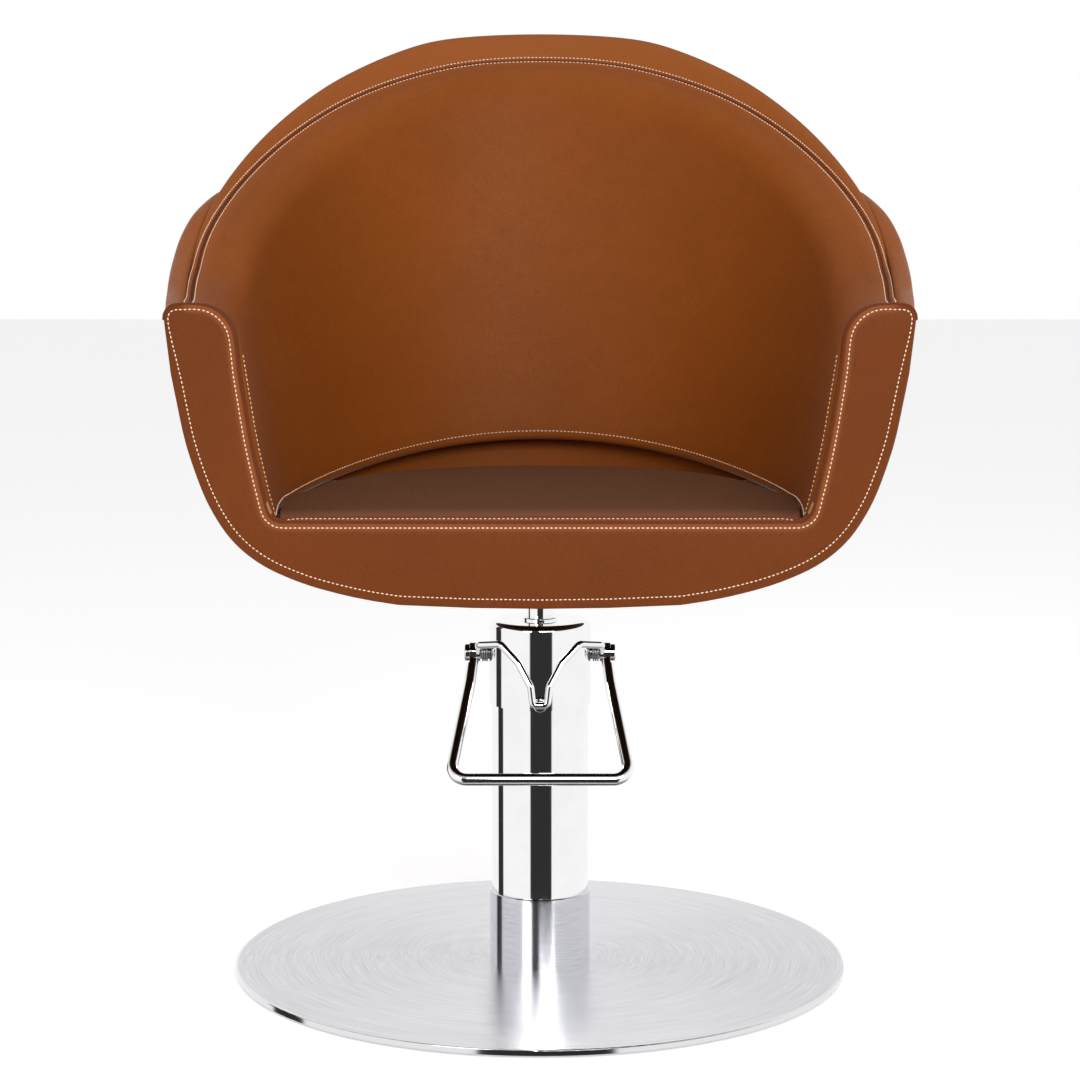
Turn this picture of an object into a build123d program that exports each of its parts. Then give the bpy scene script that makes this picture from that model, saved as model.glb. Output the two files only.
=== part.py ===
"""Hydraulic styling chair: a leather tub seat on a round base, raised and turned on a pump column.

Millimetres, +Z up, -Y towards the front of the chair.
The origin is on the floor, on the axis of the column.
"""

import os
from build123d import *

os.makedirs("parts", exist_ok=True)

# ---------------------------------------------------------------- driving dimensions

# round base
BASE_R = 300.0
BASE_TOP = 8.0
SKIN = 1.2
MAT_HEIGHT = 2.0
MAT_R = 290.0

# pump column
COLLAR_R = 49.6
COLLAR_TOP = 77.0
COLUMN_R = 47.7
COLUMN_TOP = 300.0
SLEEVE_R = 49.9
SLEEVE_LOW = 264.0
SLEEVE_TOP = 346.0
SLEEVE_ROUND = 6.0
SLEEVE_CAP = 3.0
TUBE_WALL = 2.0
FIT = 0.1
FLANGE_R = 43.0
FLANGE_TOP = 19.0
FLANGE_SCREW_CIRCLE_R = 32.0
RESERVOIR_R = 39.0
CYLINDER_R = 22.0
CYLINDER_BORE_R = 17.0
HEAD_LOW = 256.0
HEAD_TOP = 341.0
HEAD_R = 45.5
VALVE_Y = 14.0
VALVE_X = 23.0
VALVE_BALL_R = 4.0
VALVE_BORE_R = 4.5

# ram and swivel
RAM_R = 13.0
RAM_SHOULDER = 359.0
SPIGOT_R = 11.0
SPIGOT_TOP = 389.0
PISTON_LOW = 34.0
PISTON_TOP = 52.0
RUNNING = 0.05

# foot pedal
PIVOT_Z = 313.0
PIVOT_SHANK_R = 5.0
BAIL_R = 6.0
LEVER_R = 3.5
BAIL_BAR_Y = -100.0
BAIL_BAR_Z = 208.0
BAIL_BAR_HALF = 86.0
BAIL_CORNER_R = 14.0
EYE_R = 10.0
SPACER_R = 6.5
SPACER_END = 58.3
LEVER_EYE = (58.5, 62.3)
LEVER_EYE_X = sum(LEVER_EYE) / 2
BAIL_EYE = (62.5, 68.7)
BAIL_EYE_X = sum(BAIL_EYE) / 2
BOLT_HEAD_R = 8.5
BOLT_HEAD_END = 74.0
SOCKET_R = 3.5
LEVER_TIP_Y = -63.5
LEVER_TIP_Z = 272.0
LEVER_BEND_R = 5.0
PLUNGER_Z = 271.0
PLUNGER_R = 4.5
PLUNGER_HEAD_R = 6.5
PLUNGER_HEAD = (-59.7, -55.7)
PLUNGER_END_Y = -29.5
PLUNGER_SEAT_Y = -38.0

# seat bracket
HUB_R = 27.0
HUB_LOW = 362.3
PLATE_LOW = 393.0
PLATE_TOP = 399.0
PLATE_HALF = 92.0
BOLT_PITCH = 150.0
BOLT_R = 4.0
BOLT_HEX_R = 7.5
BOLT_HEX_HEIGHT = 5.0
TEE_NUT_R = 11.0
TEE_NUT_HEIGHT = 1.5

# tub: height, half width and rear reach of the outer surface, and wall thickness there
TUB_LEVELS = (
    (394.0, 110.0, 110.0, 24.0),
    (403.0, 160.0, 150.0, 26.0),
    (415.0, 205.0, 185.0, 28.0),
    (432.0, 245.0, 212.0, 33.0),
    (455.0, 277.0, 236.0, 41.0),
    (490.0, 301.0, 256.0, 51.0),
    (540.0, 321.0, 274.0, 57.0),
    (620.0, 338.0, 292.0, 60.0),
    (720.0, 346.0, 308.0, 61.0),
    (930.0, 346.0, 340.0, 61.0),
)
TUB_LOW = 394.0
TUB_FLOOR_ZONE = 150.0
SIDE_Y = -60.0
FRONT_Y = -226.0
FRONT_TAPER = 12.0
ARM_TOP = 663.0
SEAT_FRONT_TOP = 468.0

# depth of each layer below the tub's outer surface
COVER = 5.0
SHELL = 13.0
BACK_SKIN = 15.0
PANEL_OUT = 18.0
PANEL_IN = 25.0
LINING_IN = 20.0
GAP = 0.3
PAD_PROUD = 4.0
CUSHION_CLEARANCE = 7.0

# side view (Y, Z) of the two top edges, arm front to rear
ARM_EDGE = ((-260, 657), (-150, 672), (-50, 705), (25, 742), (80, 762), (130, 767), (250, 764), (420, 762))
BACK_EDGE = ((-260, 662), (-140, 663), (-60, 689), (83, 782), (216, 864), (297, 911), (345, 924), (420, 926))
ARM_RIM_HEIGHT = 14.0
BACK_RIM_HEIGHT = 10.0

# seat layers
BOARD_TOP = 424.0
CUSHION_TOP = 472.0
CUSHION_STEP = 456.0
PAD_ARCH_SIDE = 462.0
PAD_ARCH_TOP = 503.0
LINING_TOP = 530.0
BACK_SKIN_LOW = 690.0
SIDE_SEAM_Z = 530.0
LOW_SEAM_Z = 418.0
BACK_SEAM_X = 150.0

# screws that hold the back panel to the shell
SCREW_R = 2.5
SCREW_SPAN_X = 220.0
SCREW_SPAN_Z = 100.0
SCREW_CENTRE_Z = 620.0

# front of the tub
FRAME_DEPTH = 12.0
BAND_DEPTH = 18.0
ARM_INNER_X = 238.0
ARM_OUTER_R = 12.0
ARM_INNER_R = 34.0
CORNER_BLOCK = 60.0

# how the cover is divided, seen from behind and by height
REACH = 450.0
SPLIT = GAP / 2
SIDE_RANGES = {
    "left": (-REACH, -BACK_SEAM_X - SPLIT),
    "rear": (-BACK_SEAM_X + SPLIT, BACK_SEAM_X - SPLIT),
    "right": (BACK_SEAM_X + SPLIT, REACH),
}
ROW_RANGES = {
    "upper": (SIDE_SEAM_Z + SPLIT, 2 * REACH),
    "lower": (LOW_SEAM_Z + SPLIT, SIDE_SEAM_Z - SPLIT),
}


# ---------------------------------------------------------------- helpers

def save(builder, name):
    """Label a finished piece and write its STEP file."""
    builder.part.label = name
    export_step(builder.part, f"parts/{name}.step")


def tub_section(height, side, rear):
    """Flat-fronted plan outline of the tub with drawn-in sides and a round back."""
    nose = side - FRONT_TAPER
    with BuildSketch(Plane.XY.offset(height)) as section:
        with BuildLine():
            EllipticalCenterArc((0, SIDE_Y), side, rear - SIDE_Y, start_angle=0, arc_size=180)
            Spline((-side, SIDE_Y), (-nose, FRONT_Y), tangents=((0, -1), (0.14, -1)))
            Line((-nose, FRONT_Y), (nose, FRONT_Y))
            Spline((nose, FRONT_Y), (side, SIDE_Y), tangents=((0.14, 1), (0, 1)))
        make_face()
    return section.sketch


def tub_form(inset):
    """Solid inside the tub's outer surface, drawn in by inset all round and underneath."""
    with BuildPart() as form:
        for height, half, rear, _ in TUB_LEVELS:
            rise = inset * max(0.0, 1.0 - (height - TUB_LOW) / TUB_FLOOR_ZONE)
            add(tub_section(height + rise, half - inset, rear - inset))
        loft(ruled=True)
    return form.part


def seat_space(extra):
    """Solid filling the room inside the tub's padded wall, drawn in by extra."""
    with BuildPart() as space:
        for height, half, rear, wall in TUB_LEVELS:
            inset = wall + extra
            add(tub_section(height, half - inset, rear - inset))
        loft(ruled=True)
    return space.part


def edge_zone(edge, top_drop, low_drop):
    """Band across the whole width between two lines that lie below a side-view edge."""
    upper = [(y, z - top_drop) for y, z in edge]
    lower = [(y, z - low_drop) for y, z in edge]
    with BuildPart() as zone:
        with BuildSketch(Plane.YZ):
            with BuildLine():
                Spline(*upper)
                Line(upper[-1], lower[-1])
                Spline(*reversed(lower))
                Line(lower[0], upper[0])
            make_face()
        extrude(amount=REACH, both=True)
    return zone.part


def block(x_low, x_high, y_low, y_high, z_low, z_high):
    """Plain block between two corners, used to keep one stretch of a layer."""
    with BuildPart() as made:
        with BuildSketch(Plane.XY.offset(z_low)):
            with Locations(((x_low + x_high) / 2, (y_low + y_high) / 2)):
                Rectangle(x_high - x_low, y_high - y_low)
        extrude(amount=z_high - z_low)
    return made.part


def arch_zone():
    """Everything above the arched lower edge of the back pad."""
    with BuildPart() as zone:
        with BuildSketch(Plane.XZ):
            with BuildLine():
                ThreePointArc(
                    (-ARM_INNER_X, PAD_ARCH_SIDE),
                    (0, PAD_ARCH_TOP),
                    (ARM_INNER_X, PAD_ARCH_SIDE),
                )
                Line((ARM_INNER_X, PAD_ARCH_SIDE), (REACH, PAD_ARCH_SIDE))
                Line((REACH, PAD_ARCH_SIDE), (REACH, 2 * REACH + SEAT_FRONT_TOP))
                Line((REACH, 2 * REACH + SEAT_FRONT_TOP), (-REACH, 2 * REACH + SEAT_FRONT_TOP))
                Line((-REACH, 2 * REACH + SEAT_FRONT_TOP), (-REACH, PAD_ARCH_SIDE))
                Line((-REACH, PAD_ARCH_SIDE), (-ARM_INNER_X, PAD_ARCH_SIDE))
            make_face()
        extrude(amount=REACH, both=True)
    return zone.part


def cushion_crown(low, high):
    """Upper part of the seat cushion, inside the back pad."""
    with BuildPart() as made:
        add(seat_space(CUSHION_CLEARANCE))
        add(block(-REACH, REACH, FRONT_Y + 2, REACH, low, high), mode=Mode.INTERSECT)
    return made.part


def ring(outer_r, inner_r, low, high):
    """Turned ring on the column's axis."""
    with BuildPart() as made:
        with BuildSketch(Plane.XY.offset(low)):
            Circle(outer_r)
            Circle(inner_r, mode=Mode.SUBTRACT)
        extrude(amount=high - low)
    return made.part


# ---------------------------------------------------------------- round base

with BuildPart() as floor_mat:
    with BuildSketch():
        Circle(MAT_R)
    extrude(amount=MAT_HEIGHT)
save(floor_mat, "floor_mat")

with BuildPart() as base_plate:
    with BuildSketch(Plane.XY.offset(MAT_HEIGHT)):
        Circle(BASE_R - SKIN - 1.0)
    extrude(amount=BASE_TOP - SKIN - MAT_HEIGHT)
    with Locations(Location((0, 0, MAT_HEIGHT), (180, 0, 0))):
        with PolarLocations(FLANGE_SCREW_CIRCLE_R, 4, start_angle=45):
            CounterSinkHole(BOLT_R + FIT, 2 * BOLT_R + FIT, counter_sink_angle=90)
save(base_plate, "base_plate")

with BuildPart() as base_cover:
    with BuildSketch(Plane.XY.offset(MAT_HEIGHT + 0.5)):
        Circle(BASE_R)
    extrude(amount=BASE_TOP - MAT_HEIGHT - 0.5)
    fillet(base_cover.faces().sort_by(Axis.Z)[-1].edges(), 1.1)
    with BuildSketch(Plane.XY.offset(MAT_HEIGHT)):
        Circle(BASE_R - SKIN)
    extrude(amount=BASE_TOP - SKIN - MAT_HEIGHT, mode=Mode.SUBTRACT)
    with BuildSketch(Plane.XY):
        Circle(FLANGE_R + 0.4)
    extrude(amount=BASE_TOP + 1, mode=Mode.SUBTRACT)
save(base_cover, "base_cover")

with BuildPart() as flange_screws:
    with BuildSketch(Plane.XY.offset(MAT_HEIGHT)):
        with PolarLocations(FLANGE_SCREW_CIRCLE_R, 4, start_angle=45):
            Circle(2 * BOLT_R - 0.2)
    extrude(amount=BOLT_R - 0.2, taper=45)
    with BuildSketch(Plane.XY.offset(MAT_HEIGHT)):
        with PolarLocations(FLANGE_SCREW_CIRCLE_R, 4, start_angle=45):
            Circle(BOLT_R)
    extrude(amount=15)
save(flange_screws, "flange_screws")

# ---------------------------------------------------------------- pump column, fixed parts

with BuildPart() as cylinder_flange:
    with BuildSketch(Plane.XY.offset(BASE_TOP - SKIN)):
        Circle(FLANGE_R)
    extrude(amount=FLANGE_TOP - BASE_TOP + SKIN)
    chamfer(cylinder_flange.faces().sort_by(Axis.Z)[-1].edges(), 1.5)
    with BuildSketch(Plane.XY.offset(BASE_TOP - SKIN)):
        with PolarLocations(FLANGE_SCREW_CIRCLE_R, 4, start_angle=45):
            Circle(BOLT_R + RUNNING)
    extrude(amount=11, mode=Mode.SUBTRACT)
save(cylinder_flange, "cylinder_flange")

with BuildPart() as reservoir_tube:
    add(ring(RESERVOIR_R, RESERVOIR_R - 2.5, FLANGE_TOP, HEAD_LOW))
save(reservoir_tube, "reservoir_tube")

with BuildPart() as inner_cylinder:
    add(ring(CYLINDER_R, CYLINDER_BORE_R, FLANGE_TOP, HEAD_LOW))
save(inner_cylinder, "inner_cylinder")

with BuildPart() as column_collar:
    add(ring(COLLAR_R, COLUMN_R + FIT, BASE_TOP, COLLAR_TOP))
    rim = column_collar.faces().sort_by(Axis.Z)[-1].edges().sort_by(SortBy.RADIUS)[-1]
    chamfer(rim, 0.8)
save(column_collar, "column_collar")

with BuildPart() as column_tube:
    add(ring(COLUMN_R, COLUMN_R - TUBE_WALL, BASE_TOP, COLUMN_TOP))
    with BuildSketch(Plane.XZ.offset(COLUMN_R - 10)):
        with Locations((0, PLUNGER_Z)):
            Circle(PLUNGER_HEAD_R + 0.8)
    extrude(amount=20, mode=Mode.SUBTRACT)
save(column_tube, "column_tube")

with BuildPart() as pump_sleeve:
    with BuildSketch(Plane.XY.offset(SLEEVE_LOW)):
        Circle(SLEEVE_R)
    extrude(amount=SLEEVE_TOP - SLEEVE_LOW)
    fillet(pump_sleeve.faces().sort_by(Axis.Z)[-1].edges(), SLEEVE_ROUND)
    with BuildSketch(Plane.XY.offset(SLEEVE_LOW)):
        Circle(COLUMN_R + FIT)
    extrude(amount=SLEEVE_TOP - SLEEVE_LOW - SLEEVE_CAP, mode=Mode.SUBTRACT)
    with BuildSketch(Plane.XY.offset(SLEEVE_LOW)):
        Circle(RAM_R + 2)
    extrude(amount=SLEEVE_TOP - SLEEVE_LOW, mode=Mode.SUBTRACT)
    with BuildSketch(Plane.XZ.offset(COLUMN_R - 10)):
        with Locations((0, PLUNGER_Z)):
            Circle(PLUNGER_HEAD_R + 0.8)
    extrude(amount=20, mode=Mode.SUBTRACT)
    with BuildSketch(Plane.YZ):
        with Locations((0, PIVOT_Z)):
            Circle(PIVOT_SHANK_R + FIT)
    extrude(amount=2 * SLEEVE_R, both=True, mode=Mode.SUBTRACT)
save(pump_sleeve, "pump_sleeve")

with BuildPart() as cylinder_head:
    with BuildSketch(Plane.XY.offset(HEAD_LOW)):
        Circle(HEAD_R)
    extrude(amount=HEAD_TOP - HEAD_LOW)
    chamfer(cylinder_head.faces().sort_by(Axis.Z)[-1].edges(), 1.5)
    with BuildSketch(Plane.XY.offset(HEAD_LOW)):
        Circle(RAM_R + 2)
    extrude(amount=HEAD_TOP - HEAD_LOW, mode=Mode.SUBTRACT)
    with BuildSketch(Plane.XY.offset(HEAD_TOP - 5)):
        Circle(RAM_R + 5)
    extrude(amount=5, mode=Mode.SUBTRACT)
    with BuildSketch(Plane.XZ.offset(18.5)):
        with Locations((0, PLUNGER_Z)):
            Circle(PLUNGER_R + RUNNING)
    extrude(amount=HEAD_R, mode=Mode.SUBTRACT)
    with BuildSketch(Plane.XZ.offset(-PLUNGER_SEAT_Y)):
        with Locations((0, PLUNGER_Z)):
            Circle(PLUNGER_HEAD_R + 0.8)
    extrude(amount=HEAD_R, mode=Mode.SUBTRACT)
    for side in (-1, 1):
        with BuildSketch(Plane.YZ.offset(side * 28)):
            with Locations((0, PIVOT_Z)):
                Circle(PIVOT_SHANK_R + RUNNING)
        extrude(amount=side * HEAD_R, mode=Mode.SUBTRACT)
        with BuildSketch(Plane.YZ.offset(side * 18)):
            with Locations((VALVE_Y, PLUNGER_Z)):
                Circle(VALVE_BORE_R)
        extrude(amount=side * HEAD_R, mode=Mode.SUBTRACT)
save(cylinder_head, "cylinder_head")

with BuildPart() as check_balls:
    with Locations((-VALVE_X, VALVE_Y, PLUNGER_Z), (VALVE_X, VALVE_Y, PLUNGER_Z)):
        Sphere(VALVE_BALL_R)
save(check_balls, "check_balls")

with BuildPart() as valve_plugs:
    for side in (-1, 1):
        with BuildSketch(Plane.YZ.offset(side * 29)):
            with Locations((VALVE_Y, PLUNGER_Z)):
                Circle(VALVE_BORE_R - RUNNING)
        extrude(amount=side * 11)
save(valve_plugs, "valve_plugs")

with BuildPart() as guide_bush:
    add(ring(RAM_R + 1.95, RAM_R + RUNNING, HEAD_LOW + 20, HEAD_TOP - 5))
save(guide_bush, "guide_bush")

with BuildPart() as rod_seal:
    add(ring(RAM_R + 4.95, RAM_R + 0.03, HEAD_TOP - 5, HEAD_TOP))
save(rod_seal, "rod_seal")

with BuildPart() as gland_ring:
    add(ring(RAM_R + 4.5, RAM_R + FIT, SLEEVE_TOP, SLEEVE_TOP + 2.5))
    top_edges = gland_ring.faces().sort_by(Axis.Z)[-1].edges().sort_by(SortBy.RADIUS)
    fillet(top_edges[-1], 1.0)
save(gland_ring, "gland_ring")

# ---------------------------------------------------------------- ram

with BuildPart() as ram:
    with BuildSketch(Plane.XY.offset(PISTON_LOW - 8)):
        Circle(8)
    extrude(amount=PISTON_TOP - PISTON_LOW + 8)
    with BuildSketch(Plane.XY.offset(PISTON_TOP)):
        Circle(RAM_R)
    extrude(amount=RAM_SHOULDER - PISTON_TOP)
    with BuildSketch(Plane.XY.offset(RAM_SHOULDER)):
        Circle(SPIGOT_R)
    extrude(amount=SPIGOT_TOP - RAM_SHOULDER)
    chamfer(ram.faces().sort_by(Axis.Z)[-1].edges(), 1.5)
save(ram, "ram")

with BuildPart() as piston:
    add(ring(CYLINDER_BORE_R - RUNNING, 8, PISTON_LOW, PISTON_TOP))
    add(ring(CYLINDER_BORE_R + 1, CYLINDER_BORE_R - 3, PISTON_LOW + 6, PISTON_LOW + 11), mode=Mode.SUBTRACT)
save(piston, "piston")

with BuildPart() as piston_seal:
    add(ring(CYLINDER_BORE_R - 0.02, CYLINDER_BORE_R - 3, PISTON_LOW + 6, PISTON_LOW + 11))
save(piston_seal, "piston_seal")

with BuildPart() as piston_nut:
    with BuildSketch(Plane.XY.offset(PISTON_LOW - 7)):
        RegularPolygon(13, 6)
        Circle(8, mode=Mode.SUBTRACT)
    extrude(amount=7)
save(piston_nut, "piston_nut")

with BuildPart() as swivel_washer:
    add(ring(RAM_R + 7, SPIGOT_R + RUNNING, RAM_SHOULDER, HUB_LOW - GAP))
save(swivel_washer, "swivel_washer")

# ---------------------------------------------------------------- foot pedal

for side, word in ((-1, "left"), (1, "right")):
    with BuildPart() as pivot_spacer:
        with BuildSketch(Plane.YZ.offset(side * (SLEEVE_R - 6))):
            with Locations((0, PIVOT_Z)):
                Circle(SPACER_R)
                Circle(PIVOT_SHANK_R + RUNNING, mode=Mode.SUBTRACT)
        extrude(amount=side * (SPACER_END - SLEEVE_R + 6))
        with BuildSketch(Plane.XY.offset(PIVOT_Z - 20)):
            Circle(SLEEVE_R + RUNNING)
        extrude(amount=40, mode=Mode.SUBTRACT)
    save(pivot_spacer, f"pivot_spacer_{word}")

    with BuildPart() as pivot_bolt:
        with BuildSketch(Plane.YZ.offset(side * 32)):
            with Locations((0, PIVOT_Z)):
                Circle(PIVOT_SHANK_R)
        extrude(amount=side * (BAIL_EYE[1] + 0.2 - 32))
        with BuildSketch(Plane.YZ.offset(side * (BAIL_EYE[1] + 0.2))):
            with Locations((0, PIVOT_Z)):
                Circle(BOLT_HEAD_R)
        extrude(amount=side * (BOLT_HEAD_END - BAIL_EYE[1] - 0.2))
        end_face = pivot_bolt.faces().sort_by(Axis.X)[-1 if side > 0 else 0]
        fillet(end_face.edges(), 1.5)
        with BuildSketch(Plane.YZ.offset(side * BOLT_HEAD_END)):
            with Locations((0, PIVOT_Z)):
                RegularPolygon(SOCKET_R, 6)
        extrude(amount=-side * 3, mode=Mode.SUBTRACT)
    save(pivot_bolt, f"pivot_bolt_{word}")

    with BuildPart() as pedal_spring:
        with BuildLine() as coil:
            Helix(2.1, 5.2, 8.0, center=(side * 51.6, 0, PIVOT_Z), direction=(side, 0, 0))
        with BuildSketch(Plane(origin=coil.line @ 0, z_dir=coil.line % 0)):
            Circle(0.8)
        sweep(path=coil.line)
    save(pedal_spring, f"pedal_spring_{word}")

with BuildPart() as pedal_bail:
    with BuildLine() as bail_path:
        FilletPolyline(
            (-BAIL_EYE_X, -7, PIVOT_Z - 7),
            (-BAIL_EYE_X - 3, -26, PIVOT_Z - 27),
            (-BAIL_BAR_HALF, BAIL_BAR_Y, BAIL_BAR_Z),
            (BAIL_BAR_HALF, BAIL_BAR_Y, BAIL_BAR_Z),
            (BAIL_EYE_X + 3, -26, PIVOT_Z - 27),
            (BAIL_EYE_X, -7, PIVOT_Z - 7),
            radius=BAIL_CORNER_R,
        )
    with BuildSketch(Plane(origin=bail_path.line @ 0, z_dir=bail_path.line % 0)):
        Circle(BAIL_R)
    sweep(path=bail_path.line)
    for side in (-1, 1):
        with BuildSketch(Plane.YZ.offset(side * BAIL_EYE[1])):
            with Locations((0, PIVOT_Z)):
                Circle(EYE_R + 6)
        extrude(amount=side * 8, mode=Mode.SUBTRACT)
        with BuildSketch(Plane.YZ.offset(side * BAIL_EYE[0])):
            with Locations((0, PIVOT_Z)):
                Circle(EYE_R + 2)
        extrude(amount=-side * 6, mode=Mode.SUBTRACT)
        with BuildSketch(Plane.YZ.offset(side * BAIL_EYE[0])):
            with Locations((0, PIVOT_Z)):
                Circle(EYE_R)
        extrude(amount=side * (BAIL_EYE[1] - BAIL_EYE[0]))
        with BuildSketch(Plane.YZ.offset(side * (BAIL_EYE[0] - 1))):
            with Locations((0, PIVOT_Z)):
                Circle(PIVOT_SHANK_R + RUNNING)
        extrude(amount=side * (BAIL_EYE[1] - BAIL_EYE[0] + 2), mode=Mode.SUBTRACT)
save(pedal_bail, "pedal_bail")

with BuildPart() as pump_lever:
    with BuildLine() as lever_path:
        FilletPolyline(
            (-LEVER_EYE_X, -6, PIVOT_Z + 2),
            (-LEVER_EYE_X + 1, -28, PIVOT_Z + 12),
            (-38, -47, PIVOT_Z + 16),
            (-21, -56, PIVOT_Z - 1),
            (-9, LEVER_TIP_Y, LEVER_TIP_Z + 18),
            (-7, LEVER_TIP_Y, LEVER_TIP_Z),
            (7, LEVER_TIP_Y, LEVER_TIP_Z),
            (9, LEVER_TIP_Y, LEVER_TIP_Z + 18),
            (21, -56, PIVOT_Z - 1),
            (38, -47, PIVOT_Z + 16),
            (LEVER_EYE_X - 1, -28, PIVOT_Z + 12),
            (LEVER_EYE_X, -6, PIVOT_Z + 2),
            radius=LEVER_BEND_R,
        )
    with BuildSketch(Plane(origin=lever_path.line @ 0, z_dir=lever_path.line % 0)):
        Circle(LEVER_R)
    sweep(path=lever_path.line)
    for side in (-1, 1):
        with BuildSketch(Plane.YZ.offset(side * LEVER_EYE[1])):
            with Locations((0, PIVOT_Z)):
                Circle(EYE_R + 4)
        extrude(amount=side * 6, mode=Mode.SUBTRACT)
        with BuildSketch(Plane.YZ.offset(side * LEVER_EYE[0])):
            with Locations((0, PIVOT_Z)):
                Circle(EYE_R)
        extrude(amount=-side * 6, mode=Mode.SUBTRACT)
        with BuildSketch(Plane.YZ.offset(side * LEVER_EYE[0])):
            with Locations((0, PIVOT_Z)):
                Circle(EYE_R - 1)
        extrude(amount=side * (LEVER_EYE[1] - LEVER_EYE[0]))
        with BuildSketch(Plane.YZ.offset(side * (LEVER_EYE[0] - 1))):
            with Locations((0, PIVOT_Z)):
                Circle(PIVOT_SHANK_R + RUNNING)
        extrude(amount=side * (LEVER_EYE[1] - LEVER_EYE[0] + 2), mode=Mode.SUBTRACT)
save(pump_lever, "pump_lever")

with BuildPart() as plunger:
    with BuildSketch(Plane.XZ.offset(-PLUNGER_END_Y)):
        with Locations((0, PLUNGER_Z)):
            Circle(PLUNGER_R)
    extrude(amount=PLUNGER_END_Y - PLUNGER_HEAD[0])
    with BuildSketch(Plane.XZ.offset(-PLUNGER_HEAD[1])):
        with Locations((0, PLUNGER_Z)):
            Circle(PLUNGER_HEAD_R)
    extrude(amount=PLUNGER_HEAD[1] - PLUNGER_HEAD[0])
    fillet(plunger.faces().sort_by(Axis.Y)[0].edges(), 1.0)
save(plunger, "plunger")

# ---------------------------------------------------------------- seat bracket

with BuildPart() as seat_bracket:
    with BuildSketch(Plane.XY.offset(HUB_LOW)):
        Circle(HUB_R)
    extrude(amount=PLATE_LOW - HUB_LOW)
    with BuildSketch(Plane.XY.offset(PLATE_LOW)):
        RectangleRounded(2 * PLATE_HALF, 2 * PLATE_HALF, 12)
    extrude(amount=PLATE_TOP - PLATE_LOW)
    with BuildSketch(Plane.XY.offset(HUB_LOW)):
        Circle(SPIGOT_R + RUNNING)
    extrude(amount=SPIGOT_TOP - HUB_LOW + 0.5, mode=Mode.SUBTRACT)
    with BuildSketch(Plane.XY.offset(PLATE_LOW)):
        with GridLocations(BOLT_PITCH, BOLT_PITCH, 2, 2):
            Circle(BOLT_R + FIT)
    extrude(amount=PLATE_TOP - PLATE_LOW, mode=Mode.SUBTRACT)
save(seat_bracket, "seat_bracket")

with BuildPart() as bracket_bolts:
    with BuildSketch(Plane.XY.offset(PLATE_LOW - BOLT_HEX_HEIGHT)):
        with GridLocations(BOLT_PITCH, BOLT_PITCH, 2, 2):
            RegularPolygon(BOLT_HEX_R, 6)
    extrude(amount=BOLT_HEX_HEIGHT)
    with BuildSketch(Plane.XY.offset(PLATE_LOW)):
        with GridLocations(BOLT_PITCH, BOLT_PITCH, 2, 2):
            Circle(BOLT_R)
    extrude(amount=BOARD_TOP - PLATE_LOW)
save(bracket_bolts, "bracket_bolts")

with BuildPart() as tee_nuts:
    with BuildSketch(Plane.XY.offset(BOARD_TOP)):
        with GridLocations(BOLT_PITCH, BOLT_PITCH, 2, 2):
            Circle(TEE_NUT_R)
    extrude(amount=TEE_NUT_HEIGHT)
save(tee_nuts, "tee_nuts")

# ---------------------------------------------------------------- tub: forms of each layer

form_outer = tub_form(0)
form_cover = tub_form(COVER - GAP)
form_shell = tub_form(COVER)
form_shell_in = tub_form(SHELL)
form_seat = tub_form(SHELL + GAP)
form_skin = tub_form(BACK_SKIN)
form_panel = tub_form(PANEL_OUT)
form_panel_in = tub_form(PANEL_IN - GAP)
form_pad = tub_form(PANEL_IN)
form_inner = seat_space(PAD_PROUD)
form_band_in = seat_space(0)
form_frame_in = seat_space(-COVER)
form_lining_in = tub_form(LINING_IN)
form_skin_in = tub_form(PANEL_OUT - GAP)


with BuildPart() as screw_shanks:
    with BuildSketch(Plane.XZ.offset(-REACH)):
        with Locations((0, SCREW_CENTRE_Z)):
            with GridLocations(SCREW_SPAN_X, SCREW_SPAN_Z, 2, 2):
                Circle(SCREW_R + FIT)
    extrude(amount=REACH)

below_arm_edge = edge_zone(ARM_EDGE, ARM_RIM_HEIGHT + GAP, REACH)
arm_rim_zone = edge_zone(ARM_EDGE, 0, ARM_RIM_HEIGHT)
below_back_edge = edge_zone(BACK_EDGE, BACK_RIM_HEIGHT + GAP, REACH)
back_rim_zone = edge_zone(BACK_EDGE, 0, BACK_RIM_HEIGHT)

# ---------------------------------------------------------------- tub: hard parts

with BuildPart() as tub_shell:
    add(form_shell)
    add(form_shell_in, mode=Mode.SUBTRACT)
    add(below_arm_edge, mode=Mode.INTERSECT)
    with BuildSketch(Plane.XY.offset(TUB_LOW)):
        with GridLocations(BOLT_PITCH, BOLT_PITCH, 2, 2):
            Circle(BOLT_R + 0.5)
    extrude(amount=SHELL + 8, mode=Mode.SUBTRACT)
    add(screw_shanks.part, mode=Mode.SUBTRACT)
save(tub_shell, "tub_shell")

with BuildPart() as seat_board:
    add(form_seat)
    add(block(-REACH, REACH, FRONT_Y + 2, REACH, TUB_LOW, BOARD_TOP), mode=Mode.INTERSECT)
    with BuildSketch(Plane.XY.offset(TUB_LOW)):
        with GridLocations(BOLT_PITCH, BOLT_PITCH, 2, 2):
            Circle(BOLT_R + 0.5)
    extrude(amount=BOARD_TOP - TUB_LOW, mode=Mode.SUBTRACT)
save(seat_board, "seat_board")

with BuildPart() as back_panel:
    add(form_panel)
    add(form_panel_in, mode=Mode.SUBTRACT)
    add(below_back_edge, mode=Mode.INTERSECT)
    add(block(-REACH, REACH, FRONT_Y, REACH, LINING_TOP, 2 * REACH + LINING_TOP), mode=Mode.INTERSECT)
    add(screw_shanks.part, mode=Mode.SUBTRACT)
save(back_panel, "back_panel")

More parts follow.
